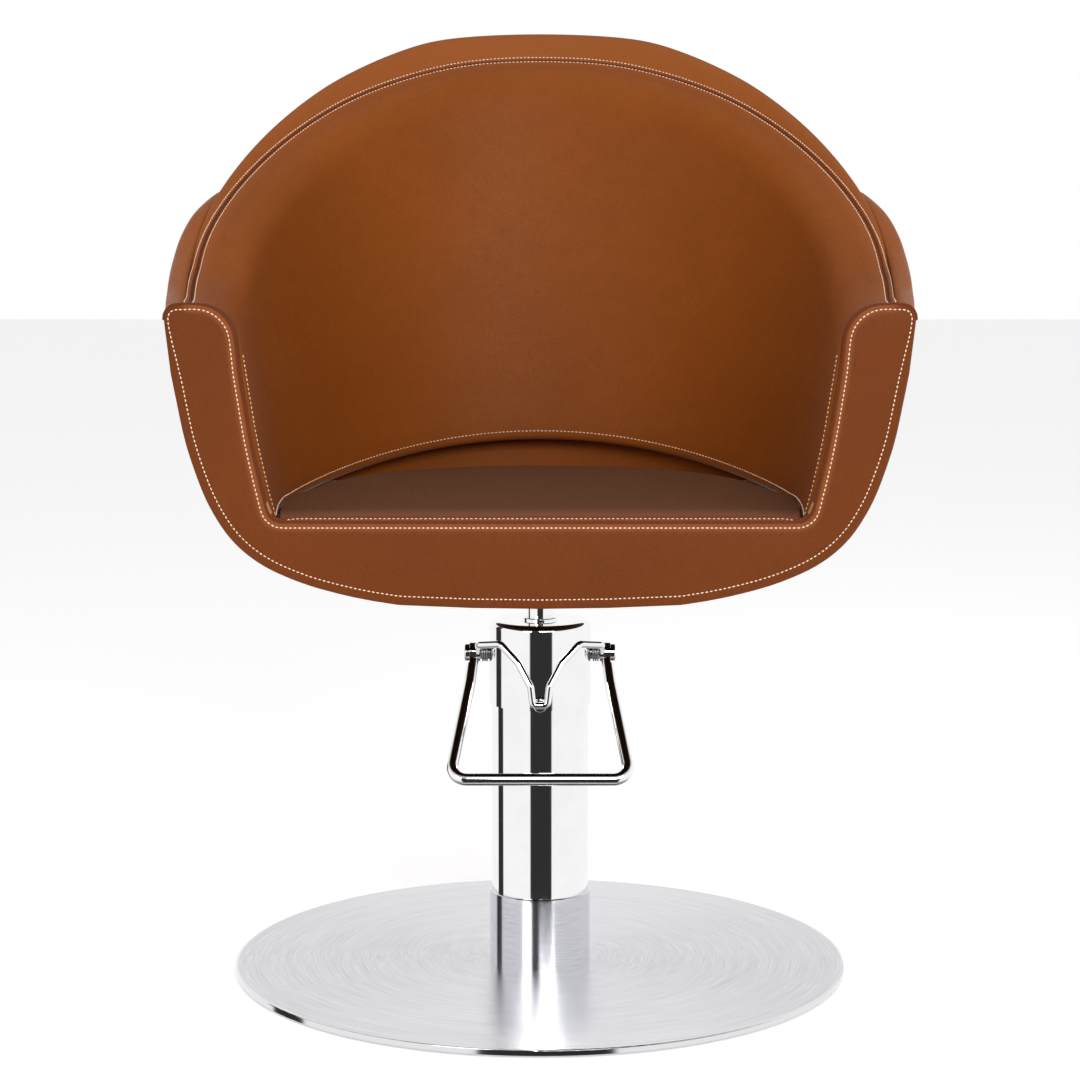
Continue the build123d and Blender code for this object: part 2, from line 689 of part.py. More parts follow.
with BuildPart() as panel_screws:
    with BuildSketch(Plane.XZ.offset(-REACH)):
        with Locations((0, SCREW_CENTRE_Z)):
            with GridLocations(SCREW_SPAN_X, SCREW_SPAN_Z, 2, 2):
                Circle(SCREW_R)
    extrude(amount=REACH)
    add(form_shell, mode=Mode.INTERSECT)
    add(form_panel_in, mode=Mode.SUBTRACT)
save(panel_screws, "panel_screws")

# ---------------------------------------------------------------- tub: front frame and band

def front_u(outer, inner, y_rear, depth, seat_top, arm_top):
    """U seen from the front: two arm fronts joined by the seat front, between two tub forms."""
    with BuildPart() as made:
        extrude(outer.faces().sort_by(Axis.Y)[0], amount=-FRONT_Y)
        add(block(-REACH, REACH, y_rear - depth, y_rear, TUB_LOW, arm_top), mode=Mode.INTERSECT)
    with BuildPart() as hollow:
        extrude(inner.faces().sort_by(Axis.Y)[0], amount=-FRONT_Y)
        add(block(-REACH, REACH, 2 * FRONT_Y, FRONT_Y, seat_top, 2 * REACH), mode=Mode.INTERSECT)
    with BuildPart() as result:
        add(made.part)
        add(hollow.part, mode=Mode.SUBTRACT)
    return result.part


def level_at(height):
    """Half width of the tub and thickness of its wall at a height."""
    for (low, half_low, _, wall_low), (high, half_high, _, wall_high) in zip(TUB_LEVELS, TUB_LEVELS[1:]):
        if low <= height <= high:
            share = (height - low) / (high - low)
            return half_low + share * (half_high - half_low), wall_low + share * (wall_high - wall_low)


def corner_cut(centre_x, centre_z, radius, way):
    """What lies outside a rounded upper corner; way is -1 or 1, the side that the corner is on."""
    with BuildPart() as cut:
        with BuildSketch(Plane.XZ.offset(-FRONT_Y - GAP)):
            with Locations((centre_x + way * CORNER_BLOCK / 2, centre_z + CORNER_BLOCK / 2)):
                Rectangle(CORNER_BLOCK, CORNER_BLOCK)
            with Locations((centre_x, centre_z)):
                Circle(radius, mode=Mode.SUBTRACT)
        extrude(amount=CORNER_BLOCK)
    return cut.part


def arm_corners(inset):
    """Cuts that round the tops of both arm fronts, for a layer that lies inset inside the band."""
    outer_half, _ = level_at(ARM_TOP)
    inner_half, inner_wall = level_at(ARM_TOP - ARM_INNER_R)
    outer_x = outer_half - FRONT_TAPER - ARM_OUTER_R
    inner_x = inner_half - inner_wall - FRONT_TAPER + ARM_INNER_R
    with BuildPart() as cuts:
        for way in (-1, 1):
            add(corner_cut(way * outer_x, ARM_TOP - ARM_OUTER_R, ARM_OUTER_R - inset, way))
            add(corner_cut(way * inner_x, ARM_TOP - ARM_INNER_R, ARM_INNER_R - inset, -way))
    return cuts.part


with BuildPart() as front_frame:
    add(front_u(form_shell, form_frame_in, FRONT_Y, FRAME_DEPTH, SEAT_FRONT_TOP - COVER, ARM_TOP - COVER))
    add(arm_corners(COVER), mode=Mode.SUBTRACT)
save(front_frame, "front_frame")

with BuildPart() as front_band:
    add(front_u(form_outer, form_band_in, FRONT_Y - FRAME_DEPTH - GAP, BAND_DEPTH, SEAT_FRONT_TOP, ARM_TOP))
    add(arm_corners(0), mode=Mode.SUBTRACT)
save(front_band, "front_band")

# ---------------------------------------------------------------- tub: padding and covers

with BuildPart() as seat_cushion:
    add(form_seat)
    add(block(-REACH, REACH, FRONT_Y + 2, REACH, BOARD_TOP + 2, CUSHION_STEP), mode=Mode.INTERSECT)
    add(cushion_crown(CUSHION_STEP - 1, CUSHION_TOP))
save(seat_cushion, "seat_cushion")

with BuildPart() as rear_lining:
    add(form_seat)
    add(form_lining_in, mode=Mode.SUBTRACT)
    add(block(-REACH, REACH, FRONT_Y + 4, REACH, CUSHION_STEP + 2, LINING_TOP - 1), mode=Mode.INTERSECT)
save(rear_lining, "rear_lining")

with BuildPart() as back_pad:
    add(form_pad)
    add(form_inner, mode=Mode.SUBTRACT)
    add(below_back_edge, mode=Mode.INTERSECT)
    add(arch_zone(), mode=Mode.INTERSECT)
save(back_pad, "back_pad")

with BuildPart() as back_rim:
    add(form_skin)
    add(form_inner, mode=Mode.SUBTRACT)
    add(back_rim_zone, mode=Mode.INTERSECT)
save(back_rim, "back_rim")

with BuildPart() as back_skin:
    add(form_skin)
    add(form_skin_in, mode=Mode.SUBTRACT)
    add(below_back_edge, mode=Mode.INTERSECT)
    add(block(-REACH, REACH, SIDE_Y, REACH, BACK_SKIN_LOW, 2 * REACH + BACK_SKIN_LOW), mode=Mode.INTERSECT)
save(back_skin, "back_skin")

with BuildPart() as arm_rim:
    add(form_outer)
    add(form_shell_in, mode=Mode.SUBTRACT)
    add(arm_rim_zone, mode=Mode.INTERSECT)
save(arm_rim, "arm_rim")

with BuildPart() as cover_layer:
    add(form_outer)
    add(form_cover, mode=Mode.SUBTRACT)
    add(below_arm_edge, mode=Mode.INTERSECT)

for row, (z_low, z_high) in ROW_RANGES.items():
    for side, (x_low, x_high) in SIDE_RANGES.items():
        y_low = 0 if side == "rear" else FRONT_Y
        with BuildPart() as cover_panel:
            add(cover_layer.part)
            add(block(x_low, x_high, y_low, REACH, z_low, z_high), mode=Mode.INTERSECT)
        save(cover_panel, f"cover_{row}_{side}")

with BuildPart() as underside_cover:
    add(cover_layer.part)
    add(block(-REACH, REACH, FRONT_Y, REACH, 0, LOW_SEAM_Z - SPLIT), mode=Mode.INTERSECT)
    with BuildSketch(Plane.XY):
        RectangleRounded(2 * PLATE_HALF + 3, 2 * PLATE_HALF + 3, 13)
    extrude(amount=2 * REACH, mode=Mode.SUBTRACT)
save(underside_cover, "underside_cover")
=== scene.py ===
"""Looks of the styling chair: stitched leather over the tub, polished pump column, brushed base."""

import math

import bpy
import numpy as np
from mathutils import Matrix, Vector
from mathutils.bvhtree import BVHTree


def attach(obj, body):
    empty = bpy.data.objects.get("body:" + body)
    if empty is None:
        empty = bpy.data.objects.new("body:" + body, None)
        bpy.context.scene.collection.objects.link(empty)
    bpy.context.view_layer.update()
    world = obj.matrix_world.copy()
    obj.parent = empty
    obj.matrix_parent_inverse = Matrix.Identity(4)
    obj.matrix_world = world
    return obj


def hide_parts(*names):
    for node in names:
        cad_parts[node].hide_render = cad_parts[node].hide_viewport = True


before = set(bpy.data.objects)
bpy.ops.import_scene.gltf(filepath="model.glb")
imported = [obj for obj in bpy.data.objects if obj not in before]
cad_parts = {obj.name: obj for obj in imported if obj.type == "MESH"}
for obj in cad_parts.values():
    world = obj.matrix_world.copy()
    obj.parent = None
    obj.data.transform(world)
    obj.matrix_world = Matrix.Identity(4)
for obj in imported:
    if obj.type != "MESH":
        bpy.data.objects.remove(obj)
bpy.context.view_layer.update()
MM = 0.001

# ---------------------------------------------------------------- shape of the tub, in millimetres

# height, half width, rear reach and wall thickness of the tub's outer surface
TUB_LEVELS = (
    (394, 110, 110, 24),
    (403, 170, 152, 26),
    (415, 217, 187, 28),
    (432, 257, 215, 33),
    (455, 285, 238, 41),
    (490, 306, 258, 51),
    (540, 323, 275, 57),
    (620, 338, 292, 60),
    (720, 346, 308, 61),
    (930, 346, 340, 61),
)
SIDE_Y = -60.0
FRONT_Y = -226.0
FRONT_TAPER = 12.0
TURN = 0.77  # share of the half outline that is the round back
ARM_EDGE = ((-260, 657), (-150, 672), (-50, 705), (25, 742), (80, 762), (130, 767), (250, 764), (420, 762))
BACK_EDGE = ((-260, 662), (-140, 663), (-60, 689), (83, 782), (216, 870), (297, 920), (345, 934), (420, 936))
ARCH_SIDE = (238.0, 462.0)
ARCH_TOP = 503.0


def smoothed(points, window, count=1200):
    """A table as dense rows with its corners softened and its ends kept."""
    points = np.array(points, float)
    steps = np.linalg.norm(np.diff(points[:, :2], axis=0), axis=1)
    run = np.concatenate([[0.0], np.cumsum(steps)])
    dense = np.linspace(0.0, run[-1], count)
    kernel = np.hanning(window + 2)[1:-1]
    kernel /= kernel.sum()
    pad = window // 2
    columns = []
    for column in points.T:
        values = np.interp(dense, run, column)
        head = 2 * values[0] - values[pad:0:-1]
        tail = 2 * values[-1] - values[-2:-pad - 2:-1]
        columns.append(np.convolve(np.concatenate([head, values, tail]), kernel, "valid"))
    return np.stack(columns, 1)


LEVELS = smoothed(TUB_LEVELS, 121)
ARM_LINE = smoothed(ARM_EDGE, 81)
BACK_LINE = smoothed(BACK_EDGE, 81)


def level_column(column):
    """A function that reads one column of the tub's levels at a height."""
    return lambda z: np.interp(z, LEVELS[:, 0], LEVELS[:, column])


half_at, rear_at, wall_at = (level_column(column) for column in (1, 2, 3))


def outline(u, half, rear):
    """Point of a plan outline; u runs from -1 at the left front, through 0 at the rear, to 1."""
    reach = abs(u)
    if reach <= TURN:
        angle = reach / TURN * math.pi / 2
        x = half * math.sin(angle)
        y = SIDE_Y + (rear - SIDE_Y) * math.cos(angle)
    else:
        share = (reach - TURN) / (1 - TURN)
        x = half - FRONT_TAPER * share * share
        y = SIDE_Y + share * (FRONT_Y - SIDE_Y)
    return math.copysign(x, u), y


def tub_point(u, z, inset):
    """Point at height z, inset inwards from the tub's outer surface."""
    x, y = outline(u, half_at(z) - inset, rear_at(z) - inset)
    return x, y, z


def edge_height(u, inset, line):
    """Height of a side-view edge line where it crosses the outline at u."""
    z = 760.0
    for _ in range(6):
        _, y, _ = tub_point(u, z, inset)
        z = float(np.interp(y, line[:, 0], line[:, 1]))
    return z


def arch_height(x):
    """Height of the arched lower edge of the back pad."""
    side_x, side_z = ARCH_SIDE
    if abs(x) >= side_x:
        return side_z
    rise = ARCH_TOP - side_z
    radius = (side_x * side_x + rise * rise) / (2 * rise)
    return ARCH_TOP - radius + math.sqrt(radius * radius - x * x)


def mix(a, b, share):
    return a + (b - a) * share


def bend(start, corner, end, count, first=0):
    """Points of a curve from start to end that leans towards corner, from point number first."""
    points = []
    for k in range(first, count + 1):
        t = k / count
        points.append(tuple(
            (1 - t) ** 2 * start[i] + 2 * t * (1 - t) * corner[i] + t * t * end[i] for i in range(2)
        ))
    return points


def smoothstep(low, high, value):
    share = min(1.0, max(0.0, (value - low) / (high - low)))
    return share * share * (3 - 2 * share)


# ---------------------------------------------------------------- mesh helpers

def make_mesh(name, points, faces, material, smooth=True):
    """A mesh object from points in millimetres, faces turned outwards."""
    mesh = bpy.data.meshes.new(name)
    mesh.from_pydata([tuple(c * MM for c in p) for p in points], [], faces)
    mesh.validate()
    volume = 0.0
    for polygon in mesh.polygons:
        corners = [mesh.vertices[i].co for i in polygon.vertices]
        for k in range(1, len(corners) - 1):
            volume += corners[0].dot(corners[k].cross(corners[k + 1]))
    if volume < 0:
        mesh.flip_normals()
    mesh.polygons.foreach_set("use_smooth", [smooth] * len(mesh.polygons))
    mesh.materials.append(material)
    mesh.update()
    piece = bpy.data.objects.new(name, mesh)
    bpy.context.scene.collection.objects.link(piece)
    return piece


def skin_loops(name, loops, material, joined=False):
    """Skin over a row of closed loops, with a fan at each end unless the row joins up."""
    count = len(loops[0])
    points = [p for loop in loops for p in loop]
    faces = []
    rows = len(loops)
    for i in range(rows if joined else rows - 1):
        a = i * count
        b = ((i + 1) % rows) * count
        for j in range(count):
            k = (j + 1) % count
            faces.append((a + j, a + k, b + k, b + j))
    if not joined:
        for row, turn in ((0, 1), (rows - 1, -1)):
            centre = len(points)
            points.append(tuple(np.mean(np.array(loops[row], float), axis=0)))
            base = row * count
            for j in range(count):
                k = (j + 1) % count
                faces.append((centre, base + k, base + j)[::turn])
    return make_mesh(name, points, faces, material)


def surface_tree(piece):
    """Search tree over a finished mesh, in metres."""
    mesh = piece.data
    return BVHTree.FromPolygons([v.co for v in mesh.vertices], [tuple(p.vertices) for p in mesh.polygons])


def resampled(path, pitch):
    """Evenly spaced points along a path."""
    path = np.array(path, float)
    run = np.concatenate([[0.0], np.cumsum(np.linalg.norm(np.diff(path, axis=0), axis=1))])
    count = max(2, int(run[-1] / pitch))
    marks = np.linspace(0.0, run[-1], count)
    return np.stack([np.interp(marks, run, path[:, k]) for k in range(3)], 1)


THREAD_R = 0.58
STITCH_PITCH = 4.0
STITCH_LENGTH = 2.6
THREAD_LIFT = 0.30
THREAD_SINK = -0.15
CAPSULE_SIDES = 6
CAPSULE_RINGS = ((-0.5, 0.25), (-0.36, 0.85), (0.0, 1.0), (0.36, 0.85), (0.5, 0.25))


def settle(paths, pieces):
    """Paths in millimetres moved onto the nearest skin, each as (points, normals)."""
    trees = [surface_tree(piece) for piece in pieces]
    settled = []
    for path in paths:
        points, normals = [], []
        for p in path:
            hits = [tree.find_nearest(Vector(p) * MM) for tree in trees]
            hits = [h for h in hits if h[0] is not None]
            spot, normal, _, _ = min(hits, key=lambda h: h[3])
            points.append(np.array(spot) / MM)
            normals.append(np.array(normal))
        settled.append((np.array(points), np.array(normals)))
    return settled


def tube_faces(base, rings, sides):
    """Faces of a closed tube whose rings of points start at point number base."""
    faces = []
    for ring in range(rings - 1):
        a = base + ring * sides
        b = a + sides
        for k in range(sides):
            n = (k + 1) % sides
            faces.append((a + k, a + n, b + n, b + k))
    last = base + (rings - 1) * sides
    faces.append(tuple(base + k for k in reversed(range(sides))))
    faces.append(tuple(last + k for k in range(sides)))
    return faces


def stitching(name, paths, pieces, material):
    """Rows of thread stitches lying on the skins of the given pieces."""
    points, faces = [], []
    turns = [2 * math.pi * k / CAPSULE_SIDES for k in range(CAPSULE_SIDES)]
    ring = [(math.cos(turn), math.sin(turn)) for turn in turns]
    marks = [resampled(path, STITCH_PITCH) for path in paths]
    for spots, normals in settle(marks, pieces):
        for i in range(len(spots) - 1):
            along = spots[i + 1] - spots[i]
            size = np.linalg.norm(along)
            if size < 1.0 or size > 3 * STITCH_PITCH:
                continue
            along /= size
            up = normals[i] - along * normals[i].dot(along)
            up /= max(1e-9, np.linalg.norm(up))
            across = np.cross(along, up)
            middle = (spots[i] + spots[i + 1]) / 2
            base = len(points)
            for place, width in CAPSULE_RINGS:
                lift = THREAD_LIFT if abs(place) < 0.4 else THREAD_SINK
                for c, s in ring:
                    points.append(
                        middle + along * place * STITCH_LENGTH
                        + across * c * width * THREAD_R + up * (s * width * THREAD_R + lift)
                    )
            faces += tube_faces(base, len(CAPSULE_RINGS), CAPSULE_SIDES)
    return make_mesh(name, points, faces, material)


WELT_SIDES = 8
WELT_PITCH = 4.0


def welt(name, paths, pieces, radius, lift, material):
    """A raised seam: a thin leather roll lying on the skins of the given pieces."""
    points, faces = [], []
    sides = WELT_SIDES
    marks = [resampled(path, WELT_PITCH) for path in paths]
    for spots, normals in settle(marks, pieces):
        count = len(spots)
        base = len(points)
        for i in range(count):
            along = spots[min(count - 1, i + 1)] - spots[max(0, i - 1)]
            along /= max(1e-9, np.linalg.norm(along))
            up = normals[max(0, i - 2):i + 3].mean(0)
            up = up - along * up.dot(along)
            up /= max(1e-9, np.linalg.norm(up))
            across = np.cross(along, up)
            for k in range(sides):
                angle = 2 * math.pi * k / sides
                points.append(
                    spots[i] + up * (lift + radius * math.sin(angle)) + across * radius * math.cos(angle)
                )
        faces += tube_faces(base, count, sides)
    return make_mesh(name, points, faces, material)


def mark_edges(piece, weights):
    """Stores how much the painted highlight lightens the leather at each point, from 0 to 1."""
    values = piece.data.attributes.new("painted_highlight", "FLOAT", "POINT")
    values.data.foreach_set("value", np.array(weights, np.float32))


# ---------------------------------------------------------------- materials

def srgb(red, green, blue):
    """Linear colour from 8-bit sRGB numbers."""
    linear = []
    for value in (red, green, blue):
        share = value / 255
        linear.append(share / 12.92 if share <= 0.04045 else ((share + 0.055) / 1.055) ** 2.4)
    return (*linear, 1.0)


def add_node(tree, kind, inputs=(), **settings):
    """A shader node with its settings made and its inputs filled or linked."""
    made = tree.nodes.new(kind)
    for key, value in settings.items():
        setattr(made, key, value)
    for key, value in dict(inputs).items():
        if isinstance(value, bpy.types.NodeSocket):
            tree.links.new(value, made.inputs[key])
        else:
            made.inputs[key].default_value = value
    return made


def shade(colour, factor):
    """A colour made darker or lighter."""
    return [c * factor for c in colour[:3]] + [1]


class Finish:
    """A material with one Principled shader and short ways to add nodes."""

    def __init__(self, name, **sockets):
        self.material = bpy.data.materials.new(name)
        self.material.use_nodes = True
        self.tree = self.material.node_tree
        self.tree.nodes.clear()
        output = self.tree.nodes.new("ShaderNodeOutputMaterial")
        self.shader = self.tree.nodes.new("ShaderNodeBsdfPrincipled")
        self.tree.links.new(self.shader.outputs[0], output.inputs[0])
        for key, value in sockets.items():
            self.shader.inputs[key.replace("_", " ")].default_value = value
        self.place = self.node("ShaderNodeTexCoord").outputs["Object"]

    def node(self, kind, inputs=(), **settings):
        return add_node(self.tree, kind, inputs, **settings)

    def feed(self, socket, value):
        self.tree.links.new(value, self.shader.inputs[socket])

    def noise(self, scale, detail=3.0, roughness=0.55, place=None):
        place = place or self.place
        inputs = {"Vector": place, "Scale": scale, "Detail": detail, "Roughness": roughness}
        return self.node("ShaderNodeTexNoise", inputs).outputs["Fac"]

    def span(self, value, low, high, start=0.0, end=1.0):
        inputs = {"Value": value, "From Min": start, "From Max": end, "To Min": low, "To Max": high}
        return self.node("ShaderNodeMapRange", inputs).outputs["Result"]

    def maths(self, operation, a, b=0.0):
        return self.node("ShaderNodeMath", {0: a, 1: b}, operation=operation).outputs[0]

    def times(self, a, b):
        return self.maths("MULTIPLY", a, b)

    def blend(self, share, low, high):
        inputs = {0: share, 6: low, 7: high}
        return self.node("ShaderNodeMix", inputs, data_type="RGBA").outputs[2]

    def bump(self, height, strength, distance, under=None):
        inputs = {"Height": height, "Strength": strength, "Distance": distance}
        if under:
            inputs["Normal"] = under
        return self.node("ShaderNodeBump", inputs).outputs["Normal"]

    def split(self):
        return self.node("ShaderNodeSeparateXYZ", {0: self.place}).outputs[:3]

    def joined(self, x, y, z):
        return self.node("ShaderNodeCombineXYZ", {0: x, 1: y, 2: z}).outputs[0]


def leather_finish(name, colour, highlight_colour):
    """Grained leather: pebbles, pores, slow tone changes and a painted highlight that lightens the marked
    edges.
    """
    f = Finish(name, Roughness=0.5)
    f.shader.inputs["Specular IOR Level"].default_value = 0.13
    f.shader.inputs["Sheen Weight"].default_value = 0.02
    f.shader.inputs["Sheen Roughness"].default_value = 0.45
    pebbles = f.node("ShaderNodeTexVoronoi", {"Vector": f.place, "Scale": 620.0, "Randomness": 1.0},
                     feature="F1").outputs["Distance"]
    creases = f.noise(210.0, 6.0, 0.62)
    pores = f.noise(1500.0, 2.0)
    slow = f.noise(7.0, 3.0)
    mottle = f.noise(55.0, 4.0)
    tone = f.blend(f.span(slow, 0.0, 1.0, 0.3, 0.7), shade(colour, 0.93), shade(colour, 1.06))
    tone = f.blend(f.span(mottle, 0.0, 0.22, 0.35, 0.75), tone, shade(colour, 0.72))
    tone = f.blend(f.span(pebbles, 0.0, 0.35, 0.45, 0.95), tone, shade(colour, 0.55))
    # painted highlight: the marked edges get the lighter colour, in patches set by the mottle noise
    painted_highlight = f.node("ShaderNodeAttribute", attribute_name="painted_highlight").outputs["Fac"]
    wear_and_highlight = f.times(painted_highlight, f.span(mottle, 0.75, 1.0, 0.3, 0.7))
    f.feed("Base Color", f.blend(wear_and_highlight, tone, highlight_colour))
    f.feed("Roughness", f.span(creases, 0.42, 0.60, 0.3, 0.7))
    grain = f.bump(pebbles, 0.35, 0.00025)
    grain = f.bump(creases, 0.30, 0.00035, grain)
    f.feed("Normal", f.bump(pores, 0.10, 0.0001, grain))
    return f.material


CHROME_TONE = (0.93, 0.93, 0.93)


def chrome_finish(name):
    """Polished chrome plate with faint smears and a slow ripple."""
    f = Finish(name, Metallic=1.0)
    smear = f.noise(38.0, 5.0, 0.6)
    tone = f.blend(f.span(smear, 0.0, 1.0, 0.3, 0.7), shade(CHROME_TONE, 1.0), shade(CHROME_TONE, 0.95))
    f.feed("Base Color", tone)
    f.feed("Roughness", f.span(smear, 0.035, 0.075, 0.35, 0.7))
    f.feed("Normal", f.bump(f.noise(12.0, 1.0), 0.04, 0.0006))
    return f.material


DISC_RIM = (0.2975, 0.2985)  # the polished rim starts between these radii, in metres


def disc_finish(name):
    """Steel spun-brushed in rings round the column, with a polished rolled rim."""
    f = Finish(name, Metallic=1.0, Anisotropic=0.85)
    x, y, _ = f.split()
    radius = f.node("ShaderNodeVectorMath", {0: f.joined(x, y, 0.0)}, operation="LENGTH").outputs["Value"]
    turn = f.maths("ARCTAN2", y, x)
    fine = f.joined(f.times(radius, 900.0), f.times(turn, 3.0), 0.0)
    rings = f.noise(1.0, 3.0, 0.7, fine)
    coarse = f.joined(f.times(radius, 70.0), f.times(turn, 1.3), 4.0)
    wide = f.noise(1.0, 2.0, 0.5, coarse)
    cloud = f.noise(6.0, 3.0)
    rim = f.span(radius, 0.0, 1.0, *DISC_RIM)
    brushed = f.blend(f.span(rings, 0.0, 1.0, 0.25, 0.75), srgb(230, 230, 233), srgb(206, 206, 211))
    brushed = f.blend(f.span(wide, 0.0, 0.22, 0.4, 0.8), brushed, srgb(184, 184, 190))
    brushed = f.blend(f.span(cloud, 0.0, 0.15, 0.4, 0.7), brushed, srgb(198, 198, 204))
    f.feed("Base Color", f.blend(rim, brushed, srgb(228, 228, 231)))
    base_rough = f.span(rings, 0.15, 0.23, 0.3, 0.7)
    f.feed("Roughness", f.node("ShaderNodeMix", {0: rim, 2: base_rough, 3: 0.06}).outputs[0])
    f.feed("Tangent", f.node("ShaderNodeTangent", direction_type="RADIAL", axis="Z").outputs[0])
    f.feed("Normal", f.bump(rings, 0.10, 0.0002))
    return f.material


TURNED_LINES = 2600.0


def turned_finish(name, light, dark, rough, strength=0.12):
    """Metal turned or brushed round the upright axis."""
    f = Finish(name, Metallic=1.0)
    x, y, z = f.split()
    turn = f.times(f.maths("ARCTAN2", y, x), 2.0)
    streaks = f.noise(1.0, 4.0, 0.65, f.joined(turn, 0.0, f.times(z, TURNED_LINES)))
    cloud = f.noise(30.0, 3.0)
    f.feed("Base Color", f.blend(f.span(streaks, 0.0, 1.0, 0.3, 0.7), light, dark))
    f.feed("Roughness", f.span(cloud, rough * 0.85, rough * 1.2, 0.3, 0.7))
    f.feed("Normal", f.bump(streaks, strength, 0.0001))
    return f.material


def cast_finish(name, colour, metallic, rough):
    """Painted or cast surface with fine orange peel and scuffs."""
    f = Finish(name, Metallic=metallic)
    grit = f.noise(420.0, 4.0, 0.6)
    scuff = f.noise(45.0, 5.0, 0.7)
    wear_and_highlight = [min(1, c * 1.7 + 0.01) for c in colour[:3]] + [1]
    f.feed("Base Color", f.blend(f.span(scuff, 0.0, 0.6, 0.45, 0.75), colour, wear_and_highlight))
    f.feed("Roughness", f.span(scuff, rough * 0.85, rough * 1.2, 0.3, 0.7))
    f.feed("Normal", f.bump(grit, 0.25, 0.0002))
    return f.material


def ply_finish(name):
    """Beech plywood: pale face with brown fibres along the grain."""
    f = Finish(name, Roughness=0.6)
    x, y, z = f.split()
    across = (f.times(y, 180.0), f.times(z, 180.0))
    fibre = f.noise(1.0, 5.0, 0.65, f.joined(f.times(x, 14.0), *across))
    fleck = f.noise(1.0, 2.0, 0.5, f.joined(f.times(x, 60.0), f.times(y, 500.0), z))
    tone = f.blend(f.span(fibre, 0.0, 1.0, 0.3, 0.7), srgb(214, 180, 134), srgb(176, 134, 90))
    f.feed("Base Color", f.blend(f.span(fleck, 0.0, 0.4, 0.6, 0.75), tone, srgb(132, 92, 58)))
    f.feed("Normal", f.bump(fibre, 0.2, 0.0003))
    return f.material


WEAVE_TURNS = 5200.0  # radians of weave per metre


def cloth_finish(name, colour, lighter):
    """Thin woven dust cloth."""
    f = Finish(name, Roughness=0.92)
    x, y, _ = f.split()
    warp = f.maths("SINE", f.times(x, WEAVE_TURNS))
    weft = f.maths("SINE", f.times(y, WEAVE_TURNS))
    weave = f.times(warp, weft)
    fuzz = f.noise(160.0, 4.0)
    tone = f.blend(f.span(weave, 0.0, 1.0, -1.0, 1.0), colour, lighter)
    f.feed("Base Color", f.blend(f.span(fuzz, 0.0, 0.4, 0.4, 0.7), tone, lighter))
    f.feed("Normal", f.bump(weave, 0.4, 0.0002))
    return f.material


def thread_finish(name):
    """Waxed cream thread with a fine twist."""
    f = Finish(name, Roughness=0.55)
    wave = {"Vector": f.place, "Scale": 900.0, "Distortion": 2.0}
    twist = f.node("ShaderNodeTexWave", wave).outputs["Fac"]
    tint = f.noise(90.0, 2.0)
    tone = f.blend(twist, srgb(255, 236, 214), srgb(246, 208, 178))
    f.feed("Base Color", f.blend(f.span(tint, 0.0, 0.35, 0.4, 0.7), tone, srgb(235, 190, 156)))
    f.feed("Normal", f.bump(twist, 0.3, 0.0001))
    return f.material


# the second colour of each leather is the painted highlight laid on its marked edges
LEATHER = srgb(140, 72, 18)
PAINTED_HIGHLIGHT = srgb(168, 98, 52)
leather = leather_finish("leather", LEATHER, PAINTED_HIGHLIGHT)
# a darker copy of the tan leather for the front band: painted shade
leather_arms = leather_finish("leather_arms", srgb(112, 54, 13), srgb(152, 86, 46))
# a darker, greyer copy of the tan leather for the seat cushion: painted shade, and a painted reflection of
# grey glare
leather_seat = leather_finish("leather_seat", srgb(100, 64, 40), srgb(158, 104, 74))
leather_seam = leather_finish("leather_seam", srgb(108, 48, 20), srgb(130, 62, 30))
chrome = chrome_finish("chrome")
disc = disc_finish("brushed_disc")
collar = turned_finish("brushed_collar", srgb(238, 238, 241), srgb(206, 206, 212), 0.07, strength=0.03)
steel = turned_finish("plain_steel", srgb(178, 178, 180), srgb(138, 138, 142), 0.32)
bronze = turned_finish("bronze", srgb(196, 142, 78), srgb(158, 108, 54), 0.3)
casting = cast_finish("cast_head", srgb(96, 98, 100), 0.9, 0.45)
paint = cast_finish("black_paint", srgb(22, 22, 24), 0.0, 0.4)
rubber = cast_finish("black_rubber", srgb(30, 30, 31), 0.0, 0.8)
ply = ply_finish("beech_ply")
dust_cloth = cloth_finish("dust_cloth", srgb(20, 20, 22), srgb(44, 44, 48))
thread = thread_finish("thread")

CAD_FINISHES = {
    chrome: ("column_tube", "pump_sleeve", "ram", "gland_ring", "pedal_bail", "pump_lever",
             "pivot_bolt_left", "pivot_bolt_right", "plunger"),
    disc: ("base_cover",),
    collar: ("column_collar",),
    steel: ("flange_screws", "cylinder_flange", "reservoir_tube", "inner_cylinder", "check_balls",
            "valve_plugs", "pivot_spacer_left", "pivot_spacer_right", "pedal_spring_left",
            "pedal_spring_right", "piston", "piston_nut", "bracket_bolts", "tee_nuts", "panel_screws"),
    bronze: ("guide_bush", "swivel_washer"),
    casting: ("cylinder_head",),
    paint: ("base_plate", "seat_bracket"),
    rubber: ("floor_mat", "rod_seal", "piston_seal"),
    ply: ("tub_shell", "seat_board", "back_panel", "front_frame"),
}
for material, names in CAD_FINISHES.items():
    for node_name in names:
        cad_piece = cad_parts[node_name]
        if not cad_piece.material_slots:
            cad_piece.data.materials.append(material)
        for material_slot in cad_piece.material_slots:
            material_slot.material = material

# ---------------------------------------------------------------- back pad and its rolled rim

PAD_BACK = 26.0
PAD_FRONT_PROUD = 4.0
PAD_ROLL = 9.0
PAD_ROLLOVER = 44.0
PAD_CROWN = 5.0
CORNER_DROP = 7.0
ROLL_POINTS = 6
FACE_POINTS = 30
TOP_POINTS = 14
COLUMNS = 150


